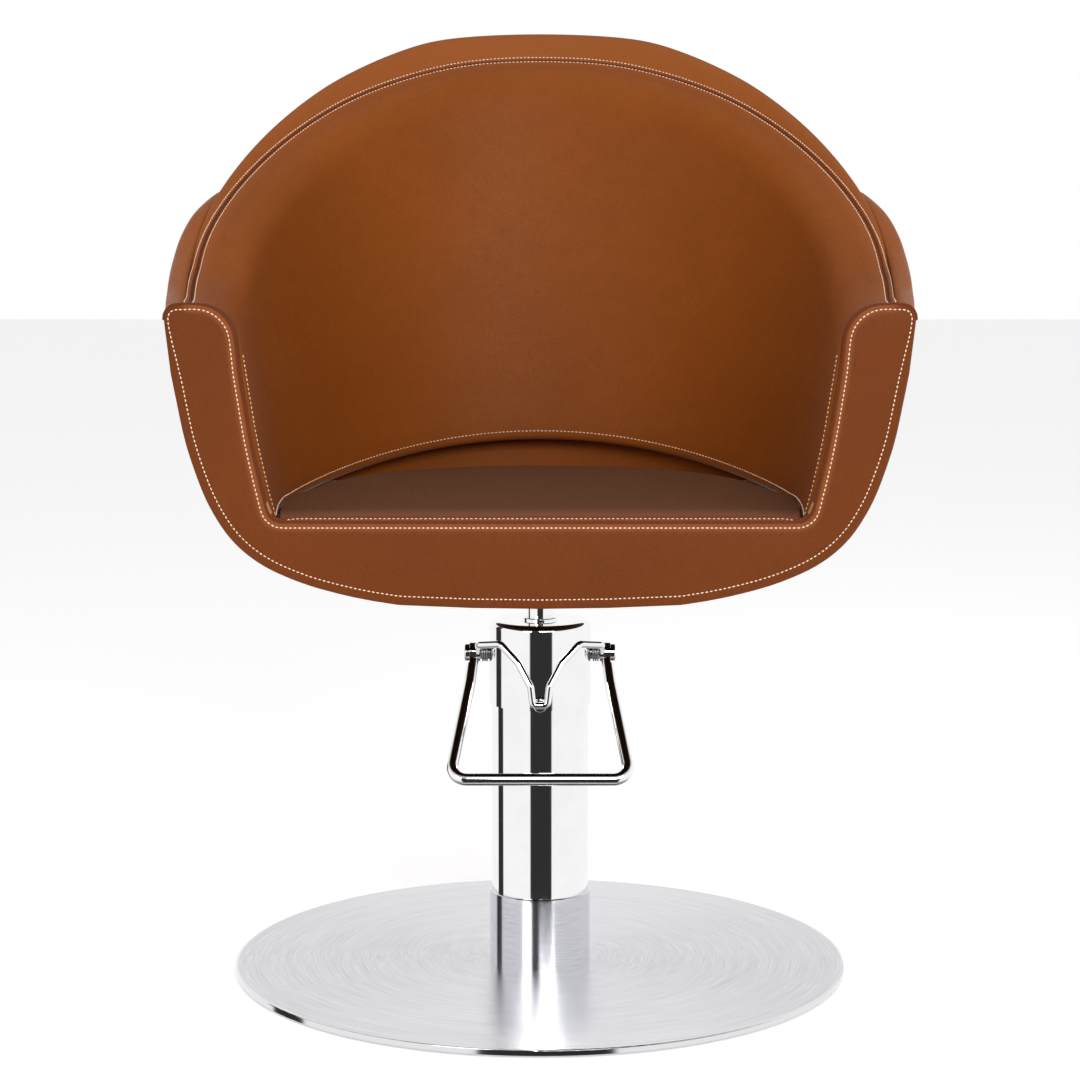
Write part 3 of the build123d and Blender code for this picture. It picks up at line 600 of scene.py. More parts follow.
def columns_of(count, limit=1.0):
    """Stations along the outline, closer together near both fronts."""
    plain = np.linspace(-limit, limit, count)
    near = limit - np.array([0.0, 0.002, 0.005, 0.010, 0.017, 0.026, 0.036, 0.048])
    inner = plain[np.abs(plain) < near[-1] - 0.004]
    return np.concatenate([-near, inner, near[::-1]])


PAD_STATIONS = columns_of(COLUMNS, 0.990)
END_ROLL = 15.0


def top_share(u):
    """1 where the rim faces forwards at the top of the back, 0 along the wings."""
    return math.cos(math.pi / 2 * min(1.0, abs(u) / 0.8)) ** 1.2


def end_shrink(u, limit, radius):
    """How far a rolled end has drawn in at u, from radius at the tip to 0."""
    distance = (limit - abs(u)) / (1 - TURN) * (SIDE_Y - FRONT_Y)
    if distance >= radius:
        return 0.0
    share = 1 - distance / radius
    return radius * (1 - math.sqrt(max(0.0, 1 - share * share)))


def seam_place(u):
    """Inset and height of the seam between back pad and rim."""
    share = top_share(u)
    inset = mix(20.0, 38.0, share)
    return inset, edge_height(u, inset, BACK_LINE) - mix(1.0, 22.0, share)


def pad_front(z, shrink=0.0):
    """Inset of the pad's front face at height z."""
    return wall_at(z) + PAD_FRONT_PROUD - shrink


def pad_low(u):
    """Height of the pad's lower edge at u."""
    z = 480.0
    for _ in range(6):
        x, _, _ = tub_point(u, z, pad_front(z))
        z = arch_height(x)
    return z


def pad_crown(u, share):
    """Extra thickness in the middle of the pad."""
    return PAD_CROWN * (4 * share * (1 - share)) ** 0.7 * (1 - abs(u) ** 6)


def pad_profile(u):
    """Pad section at u as (inset, height) pairs: up the front, over the roll and down the back."""
    shrink = end_shrink(u, PAD_STATIONS[-1], END_ROLL)
    seam_inset, seam_z = seam_place(u)
    low = pad_low(u) + shrink
    high = seam_z - shrink
    start = high - PAD_ROLLOVER
    profile = []
    for k in range(ROLL_POINTS):
        angle = math.pi / 2 * k / (ROLL_POINTS - 1)
        z = low + PAD_ROLL * (1 - math.cos(angle))
        inset = pad_front(z, shrink) - PAD_ROLL * (1 - math.sin(angle))
        profile.append((inset, z))
    lift = low + PAD_ROLL
    for k in range(1, FACE_POINTS + 1):
        z = mix(lift, start, k / FACE_POINTS)
        share = (z - low) / (high - low)
        profile.append((pad_front(z, shrink) + pad_crown(u, share), z))
    corner = (pad_front(high) - shrink, high - mix(0.0, CORNER_DROP, top_share(u)))
    profile += bend(profile[-1], corner, (seam_inset + shrink * 0.3, high), TOP_POINTS, 1)
    back = PAD_BACK + shrink * 0.5
    top = min(high - 3.0, high - 6.0 + shrink)
    for k in range(8):
        profile.append((min(back, seam_inset + 6) if k == 0 else back, mix(top, low + 3.0, k / 7)))
    return profile


def pad_loop(u):
    return [tub_point(u, z, inset) for inset, z in pad_profile(u)]


FRONT_COUNT = ROLL_POINTS + FACE_POINTS + TOP_POINTS
pad_loops = [pad_loop(u) for u in PAD_STATIONS]
back_pad = skin_loops("back_pad_leather", pad_loops, leather)
# painted highlight on the pad's rolled lower edge, its front ends and along the top seam
pad_weights = []
for u in PAD_STATIONS:
    profile = pad_profile(u)
    seam_inset, seam_z = seam_place(u)
    for index, (inset, z) in enumerate(profile):
        from_seam = math.hypot(inset - seam_inset, z - seam_z)
        from_low = z - pad_low(u)
        from_end = (PAD_STATIONS[-1] - abs(u)) / (1 - TURN) * (SIDE_Y - FRONT_Y)
        near = min(from_low, from_end) if index < FRONT_COUNT else 99.0
        weight = 0.25 * (1 - smoothstep(3.0, 9.0, near)) + 0.35 * (1 - smoothstep(4.0, 16.0, from_seam))
        pad_weights.append(min(1.0, weight))
pad_weights += [0.5, 0.5]
mark_edges(back_pad, pad_weights)

RIM_OUT = 15.0
RIM_SKIRT = 30.0
RIM_THICK = 6.0


def rim_profile(u):
    """Rolled rim at u as (inset, height) pairs from the seam over the top and down the outside."""
    share = top_share(u)
    shrink = end_shrink(u, PAD_STATIONS[-1], 6.0)
    seam_inset, seam_z = seam_place(u)
    seam_z -= shrink
    top_z = edge_height(u, RIM_OUT + 5, BACK_LINE) - shrink
    crest = (mix(RIM_OUT + 1.5, RIM_OUT + 9.0, share), top_z + mix(0.8, 1.0, share))
    start = (seam_inset - 0.4, seam_z + 0.2)
    bulge = (mix(seam_inset - 2.0, seam_inset - 5.0, share), mix(top_z + 1.4, top_z - 1.5, share))
    points = bend(start, bulge, crest, 8)
    corner = (RIM_OUT - 0.5 * share, top_z + mix(0.5, 0.0, share))
    end = (RIM_OUT, top_z - mix(4.0, 10.0, share))
    points += bend(crest, corner, end, 7, 1)
    skirt_z = top_z - RIM_SKIRT
    return points + [
        (RIM_OUT, top_z - 16.0),
        (RIM_OUT + 0.2, skirt_z + shrink),
        (RIM_OUT + 4.0, skirt_z - 1.0 + shrink),
        (RIM_OUT + RIM_THICK, skirt_z + 4.0 + shrink),
        (max(RIM_OUT + RIM_THICK, mix(RIM_OUT + RIM_THICK, seam_inset - 8.0, share)), seam_z - 5.0),
    ]


rim_loops = [[tub_point(u, z, inset) for inset, z in rim_profile(u)] for u in PAD_STATIONS]
back_rim = skin_loops("back_rim_leather", rim_loops, leather)
# painted highlight over the whole rolled back rim
mark_edges(back_rim, [0.35] * len(back_rim.data.vertices))


def along(stations, place):
    """A path through the tub points that place(u) gives as (inset, height)."""
    return [tub_point(u, z, inset) for u in stations for inset, z in [place(u)]]


def profile_mark(profile, near, distance):
    """Point on a section profile, at a distance along it from its point number near."""
    step = 1 if distance > 0 else -1
    left = abs(distance)
    index = near
    while 0 <= index + step < len(profile):
        a = np.array(profile[index])
        b = np.array(profile[index + step])
        size = np.linalg.norm(b - a)
        if size >= left and size > 0:
            return tuple(a + (b - a) * left / size)
        left -= size
        index += step
    return profile[index]


ROW_OFFSET = 3.6
seam_stations = PAD_STATIONS[3:-3]
row_pad_top = along(seam_stations, lambda u: profile_mark(pad_profile(u), FRONT_COUNT - 1, -ROW_OFFSET))
row_rim = along(seam_stations, lambda u: profile_mark(rim_profile(u), 0, ROW_OFFSET))
seam_top = along(seam_stations, seam_place)
LOW_ROW = 9.5
END_ROW_U = PAD_STATIONS[-1] - LOW_ROW / (SIDE_Y - FRONT_Y) * (1 - TURN)


def low_row(u):
    z = pad_low(u) + LOW_ROW
    return pad_front(z), z


inner_stations = [u for u in PAD_STATIONS if abs(u) < END_ROW_U]
row_pad_low = along([-END_ROW_U, *inner_stations, END_ROW_U], low_row)


def end_row(side):
    """Upright row of stitches near one front end of the pad."""
    u = side * END_ROW_U
    _, low = low_row(u)
    _, seam_z = seam_place(u)
    heights = np.linspace(low, seam_z - PAD_ROLLOVER, 30)
    return [tub_point(u, z, pad_front(z) + 1.0) for z in heights]


pad_stitches = stitching("back_pad_stitching", [row_pad_top, row_pad_low, end_row(-1), end_row(1)],
                         [back_pad], thread)
rim_stitches = stitching("back_rim_stitching", [row_rim], [back_rim], thread)
pad_seam = welt("back_pad_seam", [seam_top], [back_pad], 0.9, 0.3, leather_seam)

# ---------------------------------------------------------------- rear skin of the upper back

SKIN_LIMIT = 0.72
SKIN_STATIONS = np.linspace(-SKIN_LIMIT, SKIN_LIMIT, 90)


def skin_loop(u):
    """Closed section of the rear skin, from above the arm rim to under the back rim."""
    top = edge_height(u, RIM_OUT, BACK_LINE) - RIM_SKIRT - 0.5
    low = min(edge_height(u, 6.0, ARM_LINE) - 20.0, top - 4.0)
    edge = smoothstep(SKIN_LIMIT, SKIN_LIMIT - 0.03, abs(u))
    outer, inner = [], []
    for k in range(25):
        share = k / 24
        z = mix(low, top, share)
        puff = 1.8 * (4 * share * (1 - share)) ** 0.35 * edge
        outer.append(tub_point(u, z, RIM_OUT + 0.8 - puff))
        inner.append(tub_point(u, z, RIM_OUT + 2.9))
    return outer + inner[::-1]


back_skin = skin_loops("back_skin_leather", [skin_loop(u) for u in SKIN_STATIONS], leather)

# ---------------------------------------------------------------- outer tub: rim and cover panels

TUB_STATIONS = columns_of(170, 1.0)
ARM_RIM_IN = 15.6
ARM_RIM_HEIGHT = 14.0


def arm_rim_loop(u):
    """Padded roll over the top edge of the tub."""
    top = edge_height(u, ARM_RIM_IN / 2, ARM_LINE)
    middle = ARM_RIM_IN / 2
    points = []
    for k in range(13):
        angle = math.pi * k / 12
        points.append((middle + (middle + 0.6) * math.cos(angle), top - 6.0 + 6.6 * math.sin(angle)))
    low = top - ARM_RIM_HEIGHT
    points += [(-0.3, top - 10.0), (0.3, low), (3.0, low - 1.5), (ARM_RIM_IN - 1.0, low - 1.5)]
    points.append((ARM_RIM_IN, top - 10.0))
    return [tub_point(u, z, inset) for inset, z in points]


arm_rim = skin_loops("arm_rim_leather", [arm_rim_loop(u) for u in TUB_STATIONS], leather)
# painted highlight over the whole padded arm rim
mark_edges(arm_rim, [0.45] * len(arm_rim.data.vertices))

SIDE_SEAM_Z = 530.0
LOW_SEAM_Z = 418.0
BACK_SEAM_X = 150.0
COVER_DEPTH = 4.6
PANEL_CROWN = 2.2
SEAM_GROOVE = 1.6
PANEL_COLUMNS = 60
PANEL_ROWS = 28
REAR_ARM_Z = 740.0


def seam_station(z):
    """Station where the upright rear seam crosses height z."""
    return TURN * 2 / math.pi * math.asin(BACK_SEAM_X / half_at(z))


def panel_station(side, z, t):
    """Station at height z on a left, rear or right cover panel; t runs over the panel from 0 to 1."""
    seam = seam_station(z)
    ends = {"left": (-1.0, -seam), "rear": (-seam, seam), "right": (seam, 1.0)}
    return mix(*ends[side], t)


def cover_panel(name, side, low, high):
    """One cover panel of the outer tub; high is None where it runs up to the arm rim."""
    loops = []
    for i in range(PANEL_COLUMNS + 1):
        t = i / PANEL_COLUMNS
        top = high
        if top is None:
            top = edge_height(panel_station(side, REAR_ARM_Z, t), 0.0, ARM_LINE) - ARM_RIM_HEIGHT
        outer, inner = [], []
        for k in range(PANEL_ROWS + 1):
            z = mix(low, top, 0.5 - 0.5 * math.cos(math.pi * k / PANEL_ROWS))
            u = panel_station(side, z, t)
            x, y, _ = tub_point(u, z, 0.0)
            across = abs(abs(x) - BACK_SEAM_X) if y > 0 else 99.0
            gap = min(z - low, top - z, across)
            crown = PANEL_CROWN * smoothstep(0.0, 40.0, gap)
            crown -= SEAM_GROOVE * (1 - smoothstep(0.0, 6.0, gap))
            if y < FRONT_Y + 12:
                crown = min(crown, 0.0)
            outer.append(tub_point(u, z, -crown))
            inner.append(tub_point(u, z, COVER_DEPTH))
        loops.append(outer + inner[::-1])
    return skin_loops(name, loops, leather)


PANEL_BANDS = {"upper": (SIDE_SEAM_Z + 0.2, None), "lower": (LOW_SEAM_Z + 0.2, SIDE_SEAM_Z - 0.2)}
covers = {}
for row, (low, high) in PANEL_BANDS.items():
    for side in ("left", "rear", "right"):
        covers[f"cover_{row}_{side}"] = cover_panel(f"{row}_{side}_cover_leather", side, low, high)


def under_arm_rim(u):
    """Height of the cover panels' upper edge."""
    return edge_height(u, 0.0, ARM_LINE) - ARM_RIM_HEIGHT


ROW_GAP = 4.0
ring_stations = TUB_STATIONS[2:-2]
cover_rows = []
for z in (SIDE_SEAM_Z - ROW_GAP, SIDE_SEAM_Z + ROW_GAP, LOW_SEAM_Z + ROW_GAP):
    cover_rows.append([tub_point(u, z, 0.0) for u in ring_stations])
cover_rows.append(along(ring_stations, lambda u: (0.0, under_arm_rim(u) - ROW_GAP)))
for side in (-1, 1):
    for shift in (-ROW_GAP, ROW_GAP):
        path = []
        for z in np.linspace(LOW_SEAM_Z + 6, 742.0, 80):
            u = side * (seam_station(z) + shift / half_at(z) * TURN * 2 / math.pi)
            path.append(tub_point(u, z, 0.0))
        cover_rows.append(path)
cover_stitches = stitching("cover_stitching", cover_rows, list(covers.values()), thread)
seam_paths = [
    [tub_point(u, SIDE_SEAM_Z, 1.0) for u in ring_stations],
    along(ring_stations, lambda u: (0.6, under_arm_rim(u))),
]
for side in (-1, 1):
    heights = np.linspace(LOW_SEAM_Z + 2, 745.0, 80)
    seam_paths.append([tub_point(side * seam_station(z), z, 1.0) for z in heights])
cover_seams = welt("cover_seams", seam_paths, list(covers.values()), 1.2, 0.2, leather_seam)

# ---------------------------------------------------------------- front band

BAND_FRONT = -256.3
BAND_REAR = -226.6
BAND_ROLL = 6.0
ARM_TOP = 663.0
SEAT_FRONT_TOP = 471.5
SEAT_LIP = 0.5
OUTER_CORNER_R = 12.0
INNER_CORNER_R = 34.0
SEAT_CORNER_R = 15.0


def rounded(path, corners):
    """A flat path of (x, z) points with some of its corners rounded, given as {index: radius}."""
    path = [np.array(p, float) for p in path]
    made = []
    for i, p in enumerate(path):
        radius = corners.get(i)
        if not radius:
            made.append(p)
            continue
        before = path[i - 1] - p
        after = path[i + 1] - p
        before /= np.linalg.norm(before)
        after /= np.linalg.norm(after)
        half_angle = math.acos(max(-1, min(1, before.dot(after)))) / 2
        cut = radius / math.tan(half_angle)
        centre = p + (before + after) / np.linalg.norm(before + after) * radius / math.sin(half_angle)
        a = p + before * cut - centre
        b = p + after * cut - centre
        sweep = math.acos(max(-1, min(1, a.dot(b) / radius ** 2)))
        for k in range(11):
            t = k / 10
            made.append(centre + (a * math.sin((1 - t) * sweep) + b * math.sin(t * sweep)) / math.sin(sweep))
    return np.array(made)


def spaced(path, count):
    run = np.concatenate([[0.0], np.cumsum(np.linalg.norm(np.diff(path, axis=0), axis=1))])
    marks = np.linspace(0.0, run[-1], count)
    return np.stack([np.interp(marks, run, path[:, k]) for k in range(2)], 1)


outer_heights = np.linspace(ARM_TOP - 60, 398.0, 60)
outer_side = [(half_at(z) - FRONT_TAPER, z) for z in outer_heights]
arm_in_x = half_at(ARM_TOP) - wall_at(ARM_TOP) - FRONT_TAPER
arm_out_x = half_at(ARM_TOP) - FRONT_TAPER
arm_mid_x = mix(arm_in_x, arm_out_x, 0.62)
outer_points = [(arm_mid_x, ARM_TOP), (arm_out_x, ARM_TOP), *outer_side, (60.0, 395.4), (0.0, 394.6)]
outer_path = rounded(outer_points, {1: OUTER_CORNER_R})
inner_heights = np.linspace(ARM_TOP - 60, SEAT_FRONT_TOP + 30, 20)
inner_side = [(half_at(z) - wall_at(z) - FRONT_TAPER, z) for z in inner_heights]
seat_corner_x = half_at(SEAT_FRONT_TOP) - wall_at(SEAT_FRONT_TOP) - FRONT_TAPER + 1
inner_points = [(arm_mid_x, ARM_TOP), (arm_in_x, ARM_TOP), *inner_side,
                (seat_corner_x, SEAT_FRONT_TOP), (0.0, SEAT_FRONT_TOP)]
inner_path = rounded(inner_points, {1: INNER_CORNER_R, len(inner_points) - 2: SEAT_CORNER_R})

BAND_HALF_ROWS = 110
ACROSS = 24
outer_line = spaced(outer_path, BAND_HALF_ROWS)
inner_line = spaced(inner_path, BAND_HALF_ROWS)
right_half = [(outer_line[i], inner_line[i]) for i in range(BAND_HALF_ROWS)]
left_half = [(np.array([-o[0], o[1]]), np.array([-n[0], n[1]])) for o, n in right_half[:-1]]
band_pairs = left_half + right_half[::-1]
boundary = np.array([o for o, _ in band_pairs] + [n for _, n in band_pairs[::-1]])
edge_steps = zip(boundary, np.roll(boundary, -1, axis=0))
fine_edge = np.array([a + (b - a) * k / 4 for a, b in edge_steps for k in range(4)])


def edge_gap(x, z):
    """Distance from a point of the band's face to the band's outline."""
    return float(np.min(np.hypot(fine_edge[:, 0] - x, fine_edge[:, 1] - z)))


def band_depth(gap):
    """Y of the band's face at a distance from its outline: rolled edge, slightly crowned middle."""
    crown = 1.6 * (1 - math.exp(-max(0.0, gap - BAND_ROLL) / 14))
    if gap >= BAND_ROLL:
        return BAND_FRONT - crown
    return BAND_FRONT + BAND_ROLL - math.sqrt(BAND_ROLL ** 2 - (BAND_ROLL - gap) ** 2) - crown


band_points, band_faces, band_weights = [], [], []
face_index, rear_index = {}, {}
rows = len(band_pairs)
for i, (outer, inner) in enumerate(band_pairs):
    for j in range(ACROSS + 1):
        share = 0.5 - 0.5 * math.cos(math.pi * j / ACROSS)
        if i in (0, rows - 1):
            share = j / ACROSS
        x, z = outer + (inner - outer) * share
        on_edge = j in (0, ACROSS)
        gap = 0.0 if on_edge else edge_gap(x, z)
        face_index[i, j] = len(band_points)
        band_points.append((x, band_depth(gap), z))
        # painted highlight, strongest near the band's rolled outline
        band_weights.append(0.7 * (1 - smoothstep(3.0, 9.0, gap)) * smoothstep(0.25, 0.6, share))
for i, (outer, inner) in enumerate(band_pairs):
    for j in range(ACROSS + 1):
        x, z = outer + (inner - outer) * (0.5 - 0.5 * math.cos(math.pi * j / ACROSS))
        rear_index[i, j] = len(band_points)
        band_points.append((x, BAND_REAR, z))
        band_weights.append(0.3)
for i in range(rows - 1):
    for j in range(ACROSS):
        around = ((i, j), (i + 1, j), (i + 1, j + 1), (i, j + 1))
        band_faces.append(tuple(face_index[key] for key in around))
        band_faces.append(tuple(rear_index[key] for key in (around[0], *around[:0:-1])))
round_trip = [(i, 0) for i in range(rows)] + [(rows - 1, j) for j in range(1, ACROSS)]
round_trip += [(i, ACROSS) for i in reversed(range(rows))] + [(0, j) for j in reversed(range(1, ACROSS))]
# the rolled lip between the band's face and its rear: share of the depth, and how far it stands out
LIP = ((0.12, 3.5), (0.3, 6.5), (0.5, 8.2), (0.7, 8.2), (0.9, 5.0))
lip_normal = {}
for k, key in enumerate(round_trip):
    before = np.array(band_points[face_index[round_trip[k - 1]]])
    after = np.array(band_points[face_index[round_trip[(k + 1) % len(round_trip)]]])
    run_x, run_z = after[0] - before[0], after[2] - before[2]
    size = max(1e-9, math.hypot(run_x, run_z))
    lip_normal[key] = (-run_z / size, run_x / size)
previous = [face_index[key] for key in round_trip]
for share, rise in LIP + ((1.0, 0.0),):
    current = []
    for key in round_trip:
        if share == 1.0:
            current.append(rear_index[key])
            continue
        front = np.array(band_points[face_index[key]])
        rear = np.array(band_points[rear_index[key]])
        spot = front + (rear - front) * share
        if key[1] == ACROSS and abs(front[2] - SEAT_FRONT_TOP) < 6:
            spot[2] += rise * SEAT_LIP * smoothstep(236.0, 212.0, abs(front[0]))
        elif front[2] > 560.0:
            away = lip_normal[key]
            height_share = mix(0.15, 0.85, smoothstep(600.0, 655.0, front[2]))
            if key[1] == 0:
                height_share *= smoothstep(ARM_TOP - 12.0, ARM_TOP - 1.0, front[2])
            spot[0] += away[0] * rise * height_share
            spot[2] += away[1] * rise * height_share
        current.append(len(band_points))
        band_points.append(tuple(spot))
        band_weights.append(0.45)
    for k in range(len(round_trip)):
        n = (k + 1) % len(round_trip)
        band_faces.append((previous[k], current[k], current[n], previous[n]))
    previous = current
front_band = make_mesh("front_band_leather", band_points, band_faces, leather_arms)
# painted highlight on the band's rolled edge, its lip and its rear
mark_edges(front_band, band_weights)


def inward(path, distance):
    """A flat path moved sideways by distance, to the left of its direction."""
    path = np.array(path, float)
    ahead = np.gradient(path, axis=0)
    ahead /= np.maximum(1e-9, np.linalg.norm(ahead, axis=1))[:, None]
    return path + np.stack([-ahead[:, 1], ahead[:, 0]], 1) * distance


def mirrored(path):
    """Right half of a flat path, ended on the middle plane, joined to its mirror image."""
    path = np.array(path, float)
    left = path[::-1][1:].copy()
    left[:, 0] *= -1
    return np.concatenate([path, left])


OUTER_ROW = 9.0
INNER_ROW = 4.2
outer_dense = spaced(outer_path, 260)
inner_dense = spaced(inner_path, 220)
row_shares = [smoothstep(ARM_TOP - 14.0, ARM_TOP - 70.0, z) for _, z in outer_dense]
near_row = inward(outer_dense, -INNER_ROW)
far_row = inward(outer_dense, -OUTER_ROW)
outer_row = [a + (b - a) * share for a, b, share in zip(near_row, far_row, row_shares)]
inner_row = list(inward(inner_dense, INNER_ROW))
band_rows = [
    [(x, band_depth(OUTER_ROW), z) for x, z in mirrored(outer_row)],
    [(x, band_depth(INNER_ROW), z) for x, z in mirrored(inner_row)],
]
for side in (-1, 1):
    upper = [p for p in inner_dense if p[1] > 560][::-1]
    upper += [p for p in outer_dense if p[1] > ARM_TOP - 7]
    band_rows.append([(side * x, BAND_FRONT + BAND_ROLL + 5.5, z) for x, z in upper])
seat_row = np.linspace(-224, 224, 140)
band_rows.append([(x, -246.0, SEAT_FRONT_TOP + 4.0) for x in seat_row])
band_stitches = stitching("front_band_stitching", band_rows, [front_band], thread)
RIDGE_Y = BAND_FRONT + BAND_ROLL - 1.5
ridge = [(x, RIDGE_Y, z) for x, z in mirrored(inner_dense)]
corner_ridges = [[(side * x, RIDGE_Y, z) for x, z in outer_dense if z > ARM_TOP - 14] for side in (-1, 1)]
band_seam = welt("front_band_seam", [ridge, *corner_ridges], [front_band], 1.2, 0.3, leather_seam)

# ---------------------------------------------------------------- seat cushion and lining

CUSHION_LOW = 426.0
CUSHION_EDGE = 456.0
CUSHION_SHOULDER = 14.0
CUSHION_CROWN = 3.0
CUSHION_REAR_RISE = 10.0
CUSHION_FRONT = FRONT_Y + 1.0
CUSHION_GAP = 2.5
CUSHION_ROUND = 6.0


def cushion_outline(u, z, draw):
    """Outline of the seat cushion, drawn in by draw, with a straight front."""
    inset = wall_at(z) + CUSHION_GAP + draw
    half = half_at(z) - inset
    rear = rear_at(z) - inset
    x, y = outline(u, half, rear)
    return x, max(y, CUSHION_FRONT + draw)


def cushion_ring(z, draw, count=96):
    """One loop round the cushion: round the back, then along the front."""
    points = [cushion_outline(u, z, draw) for u in np.linspace(1.0, -1.0, count)]
    left, right = points[-1], points[0]
    for k in range(1, 40):
        points.append((mix(left[0], right[0], k / 40), left[1]))
    return [(x, y, z) for x, y in points]


cushion_loops = [cushion_ring(CUSHION_LOW, 6.0), cushion_ring(CUSHION_LOW + 3, 1.5)]
cushion_loops += [cushion_ring(z, 0.0) for z in (436.0, 446.0, CUSHION_EDGE)]
for k in range(1, 8):
    angle = math.pi / 2 * k / 7
    ring_z = CUSHION_EDGE + CUSHION_SHOULDER * math.sin(angle)
    cushion_loops.append(cushion_ring(ring_z, CUSHION_ROUND * (1 - math.cos(angle))))
rim_ring = np.array(cushion_ring(CUSHION_EDGE + CUSHION_SHOULDER, CUSHION_ROUND))
centre = np.array([0.0, -20.0, CUSHION_EDGE + CUSHION_SHOULDER])
for share in np.linspace(0.08, 0.97, 16):
    ring_points = rim_ring + (centre - rim_ring) * share
    scoop = np.array([smoothstep(-140.0, 120.0, p[1]) for p in ring_points])
    ring_points[:, 2] += CUSHION_CROWN * (1 - (1 - share) ** 2.2)
    ring_points[:, 2] += CUSHION_REAR_RISE * scoop * (1 - share) ** 1.6
    cushion_loops.append([tuple(p) for p in ring_points])
seat_cushion = skin_loops("seat_cushion_leather", cushion_loops, leather_seat)
# painted highlight along the cushion's front lip
mark_edges(seat_cushion, [0.8 * smoothstep(-0.13, -0.215, v.co.y) for v in seat_cushion.data.vertices])

LINING_LOW = 458.0
LINING_HIGH = 527.0
LINING_BACK = 15.0
LINING_FACE = 21.5


def lining_loop(u):
    """Closed section of the lining behind the lower edge of the back pad."""
    outer, inner = [], []
    for k in range(13):
        share = k / 12
        z = mix(LINING_LOW, LINING_HIGH, share)
        outer.append(tub_point(u, z, LINING_BACK))
        inner.append(tub_point(u, z, LINING_FACE + 1.5 * math.sin(math.pi * share)))
    return outer + inner[::-1]


rear_lining = skin_loops("rear_lining_leather", [lining_loop(u) for u in columns_of(100, 0.985)], leather)

# ---------------------------------------------------------------- dust cloth under the tub

PLATE_HALF = 94.5
CLOTH_THICK = 1.0


def tub_outline(z):
    """Angles and radii of the tub's outline at height z, seen from above."""
    points = [outline(u, half_at(z), rear_at(z)) for u in np.linspace(-1, 1, 200)]
    left, right = points[0], points[-1]
    points += [(mix(right[0], left[0], k / 40), FRONT_Y) for k in range(1, 40)]
    if z < 400:
        points = [(x, max(y, -150.0)) for x, y in points]
    angles = np.array([math.atan2(y, x) for x, y in points])
    radii = np.array([math.hypot(x, y) for x, y in points])
    order = np.argsort(angles)
    return angles[order], radii[order]


cloth_levels = [(z, *tub_outline(z)) for z in np.linspace(402.0, 418.0, 9)]
cloth_under, cloth_over = [], []
TURNS = 160
CLOTH_STEPS = 18
for i in range(TURNS):
    angle = -math.pi + 2 * math.pi * i / TURNS
    near = PLATE_HALF / max(abs(math.cos(angle)), abs(math.sin(angle)))
    radii = [near] + [float(np.interp(angle, a, r, period=2 * math.pi)) for _, a, r in cloth_levels]
    heights = [394.2] + [z for z, _, _ in cloth_levels]
    row = []
    for k in range(CLOTH_STEPS + 1):
        share = k / CLOTH_STEPS
        radius = mix(near, radii[-1] - 0.5, share)
        z = float(np.interp(radius, radii, heights)) if radius > radii[0] else heights[0]
        sag = 1.6 * math.sin(math.pi * share) * (1 + 0.15 * math.sin(9 * angle))
        row.append((radius * math.cos(angle), radius * math.sin(angle), z - sag))
    cloth_under.append(row)
    cloth_over.append([(x, y, z + CLOTH_THICK) for x, y, z in row])
underside = skin_loops("underside_cloth", [cloth_under[i] + cloth_over[i][::-1] for i in range(TURNS)],
                       dust_cloth, joined=True)

# ---------------------------------------------------------------- bodies and replaced parts

leather_pieces = {
    piece.name.removesuffix("_leather"): piece
    for piece in (back_pad, back_rim, back_skin, arm_rim, front_band, seat_cushion, rear_lining)
}
leather_pieces.update(covers)
for node_name, piece in leather_pieces.items():
    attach(piece, "seat")
    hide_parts(node_name)
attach(underside, "seat")
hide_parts("underside_cover")
seams = (pad_seam, cover_seams, band_seam)
stitches = (pad_stitches, rim_stitches, cover_stitches, band_stitches)
for piece in (*seams, *stitches):
    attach(piece, "seat")

# the polished pump column mirrors the studio, not the seat's low parts above it or the pedal
UNMIRRORED = ("seat_bracket", "bracket_bolts", "tub_shell", "seat_board", "back_panel", "front_frame",
              "tee_nuts", "panel_screws", "pedal_bail", "pump_lever")
low_skins = [front_band] + [piece for node_name, piece in covers.items() if "lower" in node_name]
unmirrored_nodes = [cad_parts[node_name] for node_name in UNMIRRORED]
for piece in (*low_skins, underside, *seams, *stitches, *unmirrored_nodes):
    piece.visible_glossy = False

# ---------------------------------------------------------------- floor, light and camera

floor_mesh = bpy.data.meshes.new("floor")
FLOOR_REACH = 14.0
floor_corners = [(x * FLOOR_REACH, y * FLOOR_REACH, 0) for x, y in ((-1, -1), (1, -1), (1, 1), (-1, 1))]
floor_mesh.from_pydata(floor_corners, [], [(0, 1, 2, 3)])
floor = bpy.data.objects.new("floor", floor_mesh)
bpy.context.scene.collection.objects.link(floor)
floor_finish = Finish("floor_paper", Roughness=0.9)
floor_tone = floor_finish.noise(0.8, 3.0)
floor_finish.feed("Base Color", floor_finish.blend(floor_tone, srgb(250, 250, 250), srgb(246, 246, 247)))
floor_finish.shader.inputs["Emission Color"].default_value = (1, 1, 1, 1)
floor_finish.shader.inputs["Emission Strength"].default_value = 0.52
floor_mesh.materials.append(floor_finish.material)
floor.visible_glossy = False

world = bpy.data.worlds.new("studio")
bpy.context.scene.world = world
world.use_nodes = True
world.node_tree.nodes.clear()


def world_node(kind, inputs=(), **settings):
    return add_node(world.node_tree, kind, inputs, **settings)


def world_maths(operation, a, b=0.0):
    return world_node("ShaderNodeMath", {0: a, 1: b}, operation=operation).outputs[0]


def world_times(a, b):
    return world_maths("MULTIPLY", a, b)


def world_span(value, low, high, start, end):
    inputs = {"Value": value, "From Min": start, "From Max": end, "To Min": low, "To Max": high}
    return world_node("ShaderNodeMapRange", inputs, interpolation_type="SMOOTHSTEP").outputs["Result"]


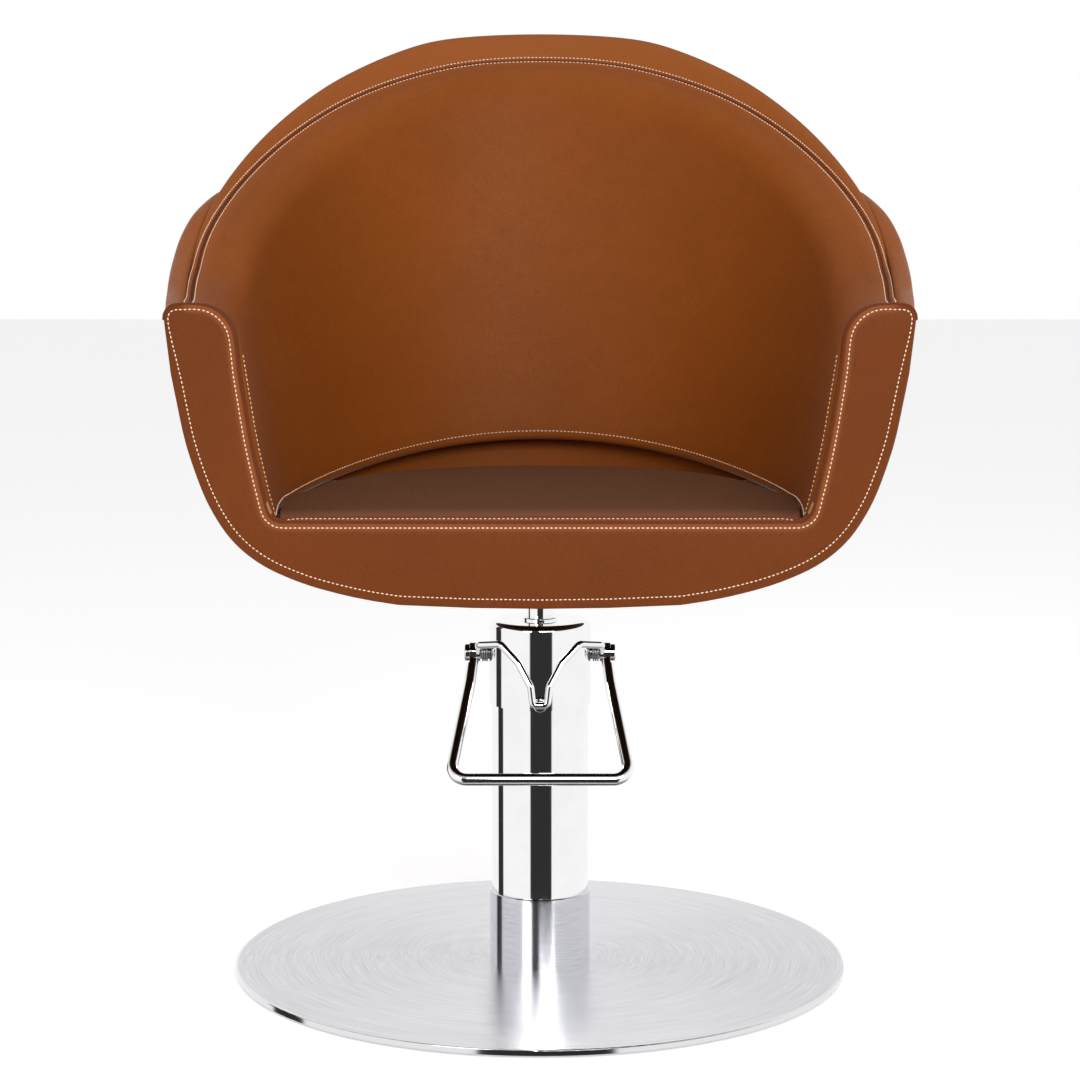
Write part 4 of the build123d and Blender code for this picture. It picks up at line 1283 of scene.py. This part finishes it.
direction = world_node("ShaderNodeSeparateXYZ", {0: world_node("ShaderNodeTexCoord").outputs["Generated"]})
bearing = world_maths("ARCTAN2", direction.outputs[0], world_times(direction.outputs[1], -1.0))
# a dark gap between the softboxes in front of the chair, and a thin one beyond the left softbox
from_front = world_maths("ABSOLUTE", world_maths("SUBTRACT", bearing, 0.04))
from_left = world_maths("ABSOLUTE", world_maths("ADD", bearing, 1.88))
front_gap = world_span(from_front, 1.0, 0.0, 0.40, 0.48)
left_gap = world_span(from_left, 1.0, 0.0, 0.14, 0.20)
low_enough = world_span(direction.outputs[2], 1.0, 0.0, 0.35, 0.6)
# the ceiling and the ground of the studio give less light than its walls
ceiling = world_span(direction.outputs[2], 1.0, 0.42, 0.40, 0.80)
ground = world_span(direction.outputs[2], 0.55, 1.0, -0.85, -0.30)
dark = world_times(world_maths("MAXIMUM", front_gap, left_gap), low_enough)
gloss = world_node("ShaderNodeLightPath").outputs["Is Glossy Ray"]
bright = world_span(gloss, 0.62, 1.0, 0.0, 1.0)
room = world_times(bright, world_times(ceiling, ground))
studio_strength = world_times(room, world_span(dark, 1.0, 0.03, 0.0, 1.0))
studio = world_node("ShaderNodeBackground", {"Color": (1, 1, 1, 1), "Strength": studio_strength})
backdrop = world_node("ShaderNodeBackground", {"Color": (1, 1, 1, 1), "Strength": 1.0})
seen = world_node("ShaderNodeLightPath").outputs["Is Camera Ray"]
both = world_node("ShaderNodeMixShader", {0: seen, 1: studio.outputs[0], 2: backdrop.outputs[0]})
world_node("ShaderNodeOutputWorld", {0: both.outputs[0]})


def softbox(name, place, aim, width, height, watts):
    """Rectangular studio light."""
    lamp = bpy.data.lights.new(name, "AREA")
    lamp.shape = "RECTANGLE"
    lamp.size = width
    lamp.size_y = height
    lamp.energy = watts
    holder = bpy.data.objects.new(name, lamp)
    bpy.context.scene.collection.objects.link(holder)
    holder.location = place
    holder.rotation_euler = (Vector(aim) - Vector(place)).to_track_quat("-Z", "Y").to_euler()


softbox("key_light", (0.9, -3.3, 1.9), (0, 0, 0.6), 2.2, 1.6, 62)
softbox("top_light", (0.0, -0.2, 2.9), (0, 0.0, 0.5), 2.0, 2.0, 14)
softbox("fill_light", (-1.6, -2.9, 1.3), (0, 0, 0.5), 1.2, 1.6, 14)

SENSOR_WIDTH = 36.0
FOCAL_RATIO = 269 / 108
CAMERA_PITCH = 7.3
camera_data = bpy.data.cameras.new("camera")
camera_data.sensor_width = SENSOR_WIDTH
camera_data.lens = SENSOR_WIDTH * FOCAL_RATIO
camera = bpy.data.objects.new("camera", camera_data)
bpy.context.scene.collection.objects.link(camera)
camera.location = (0.0, -2.6, 0.757)
camera.rotation_euler = (math.radians(90 - CAMERA_PITCH), 0.0, 0.0)
bpy.context.scene.camera = camera
bpy.context.scene.view_settings.view_transform = "Standard"
bpy.context.scene.view_settings.look = "None"
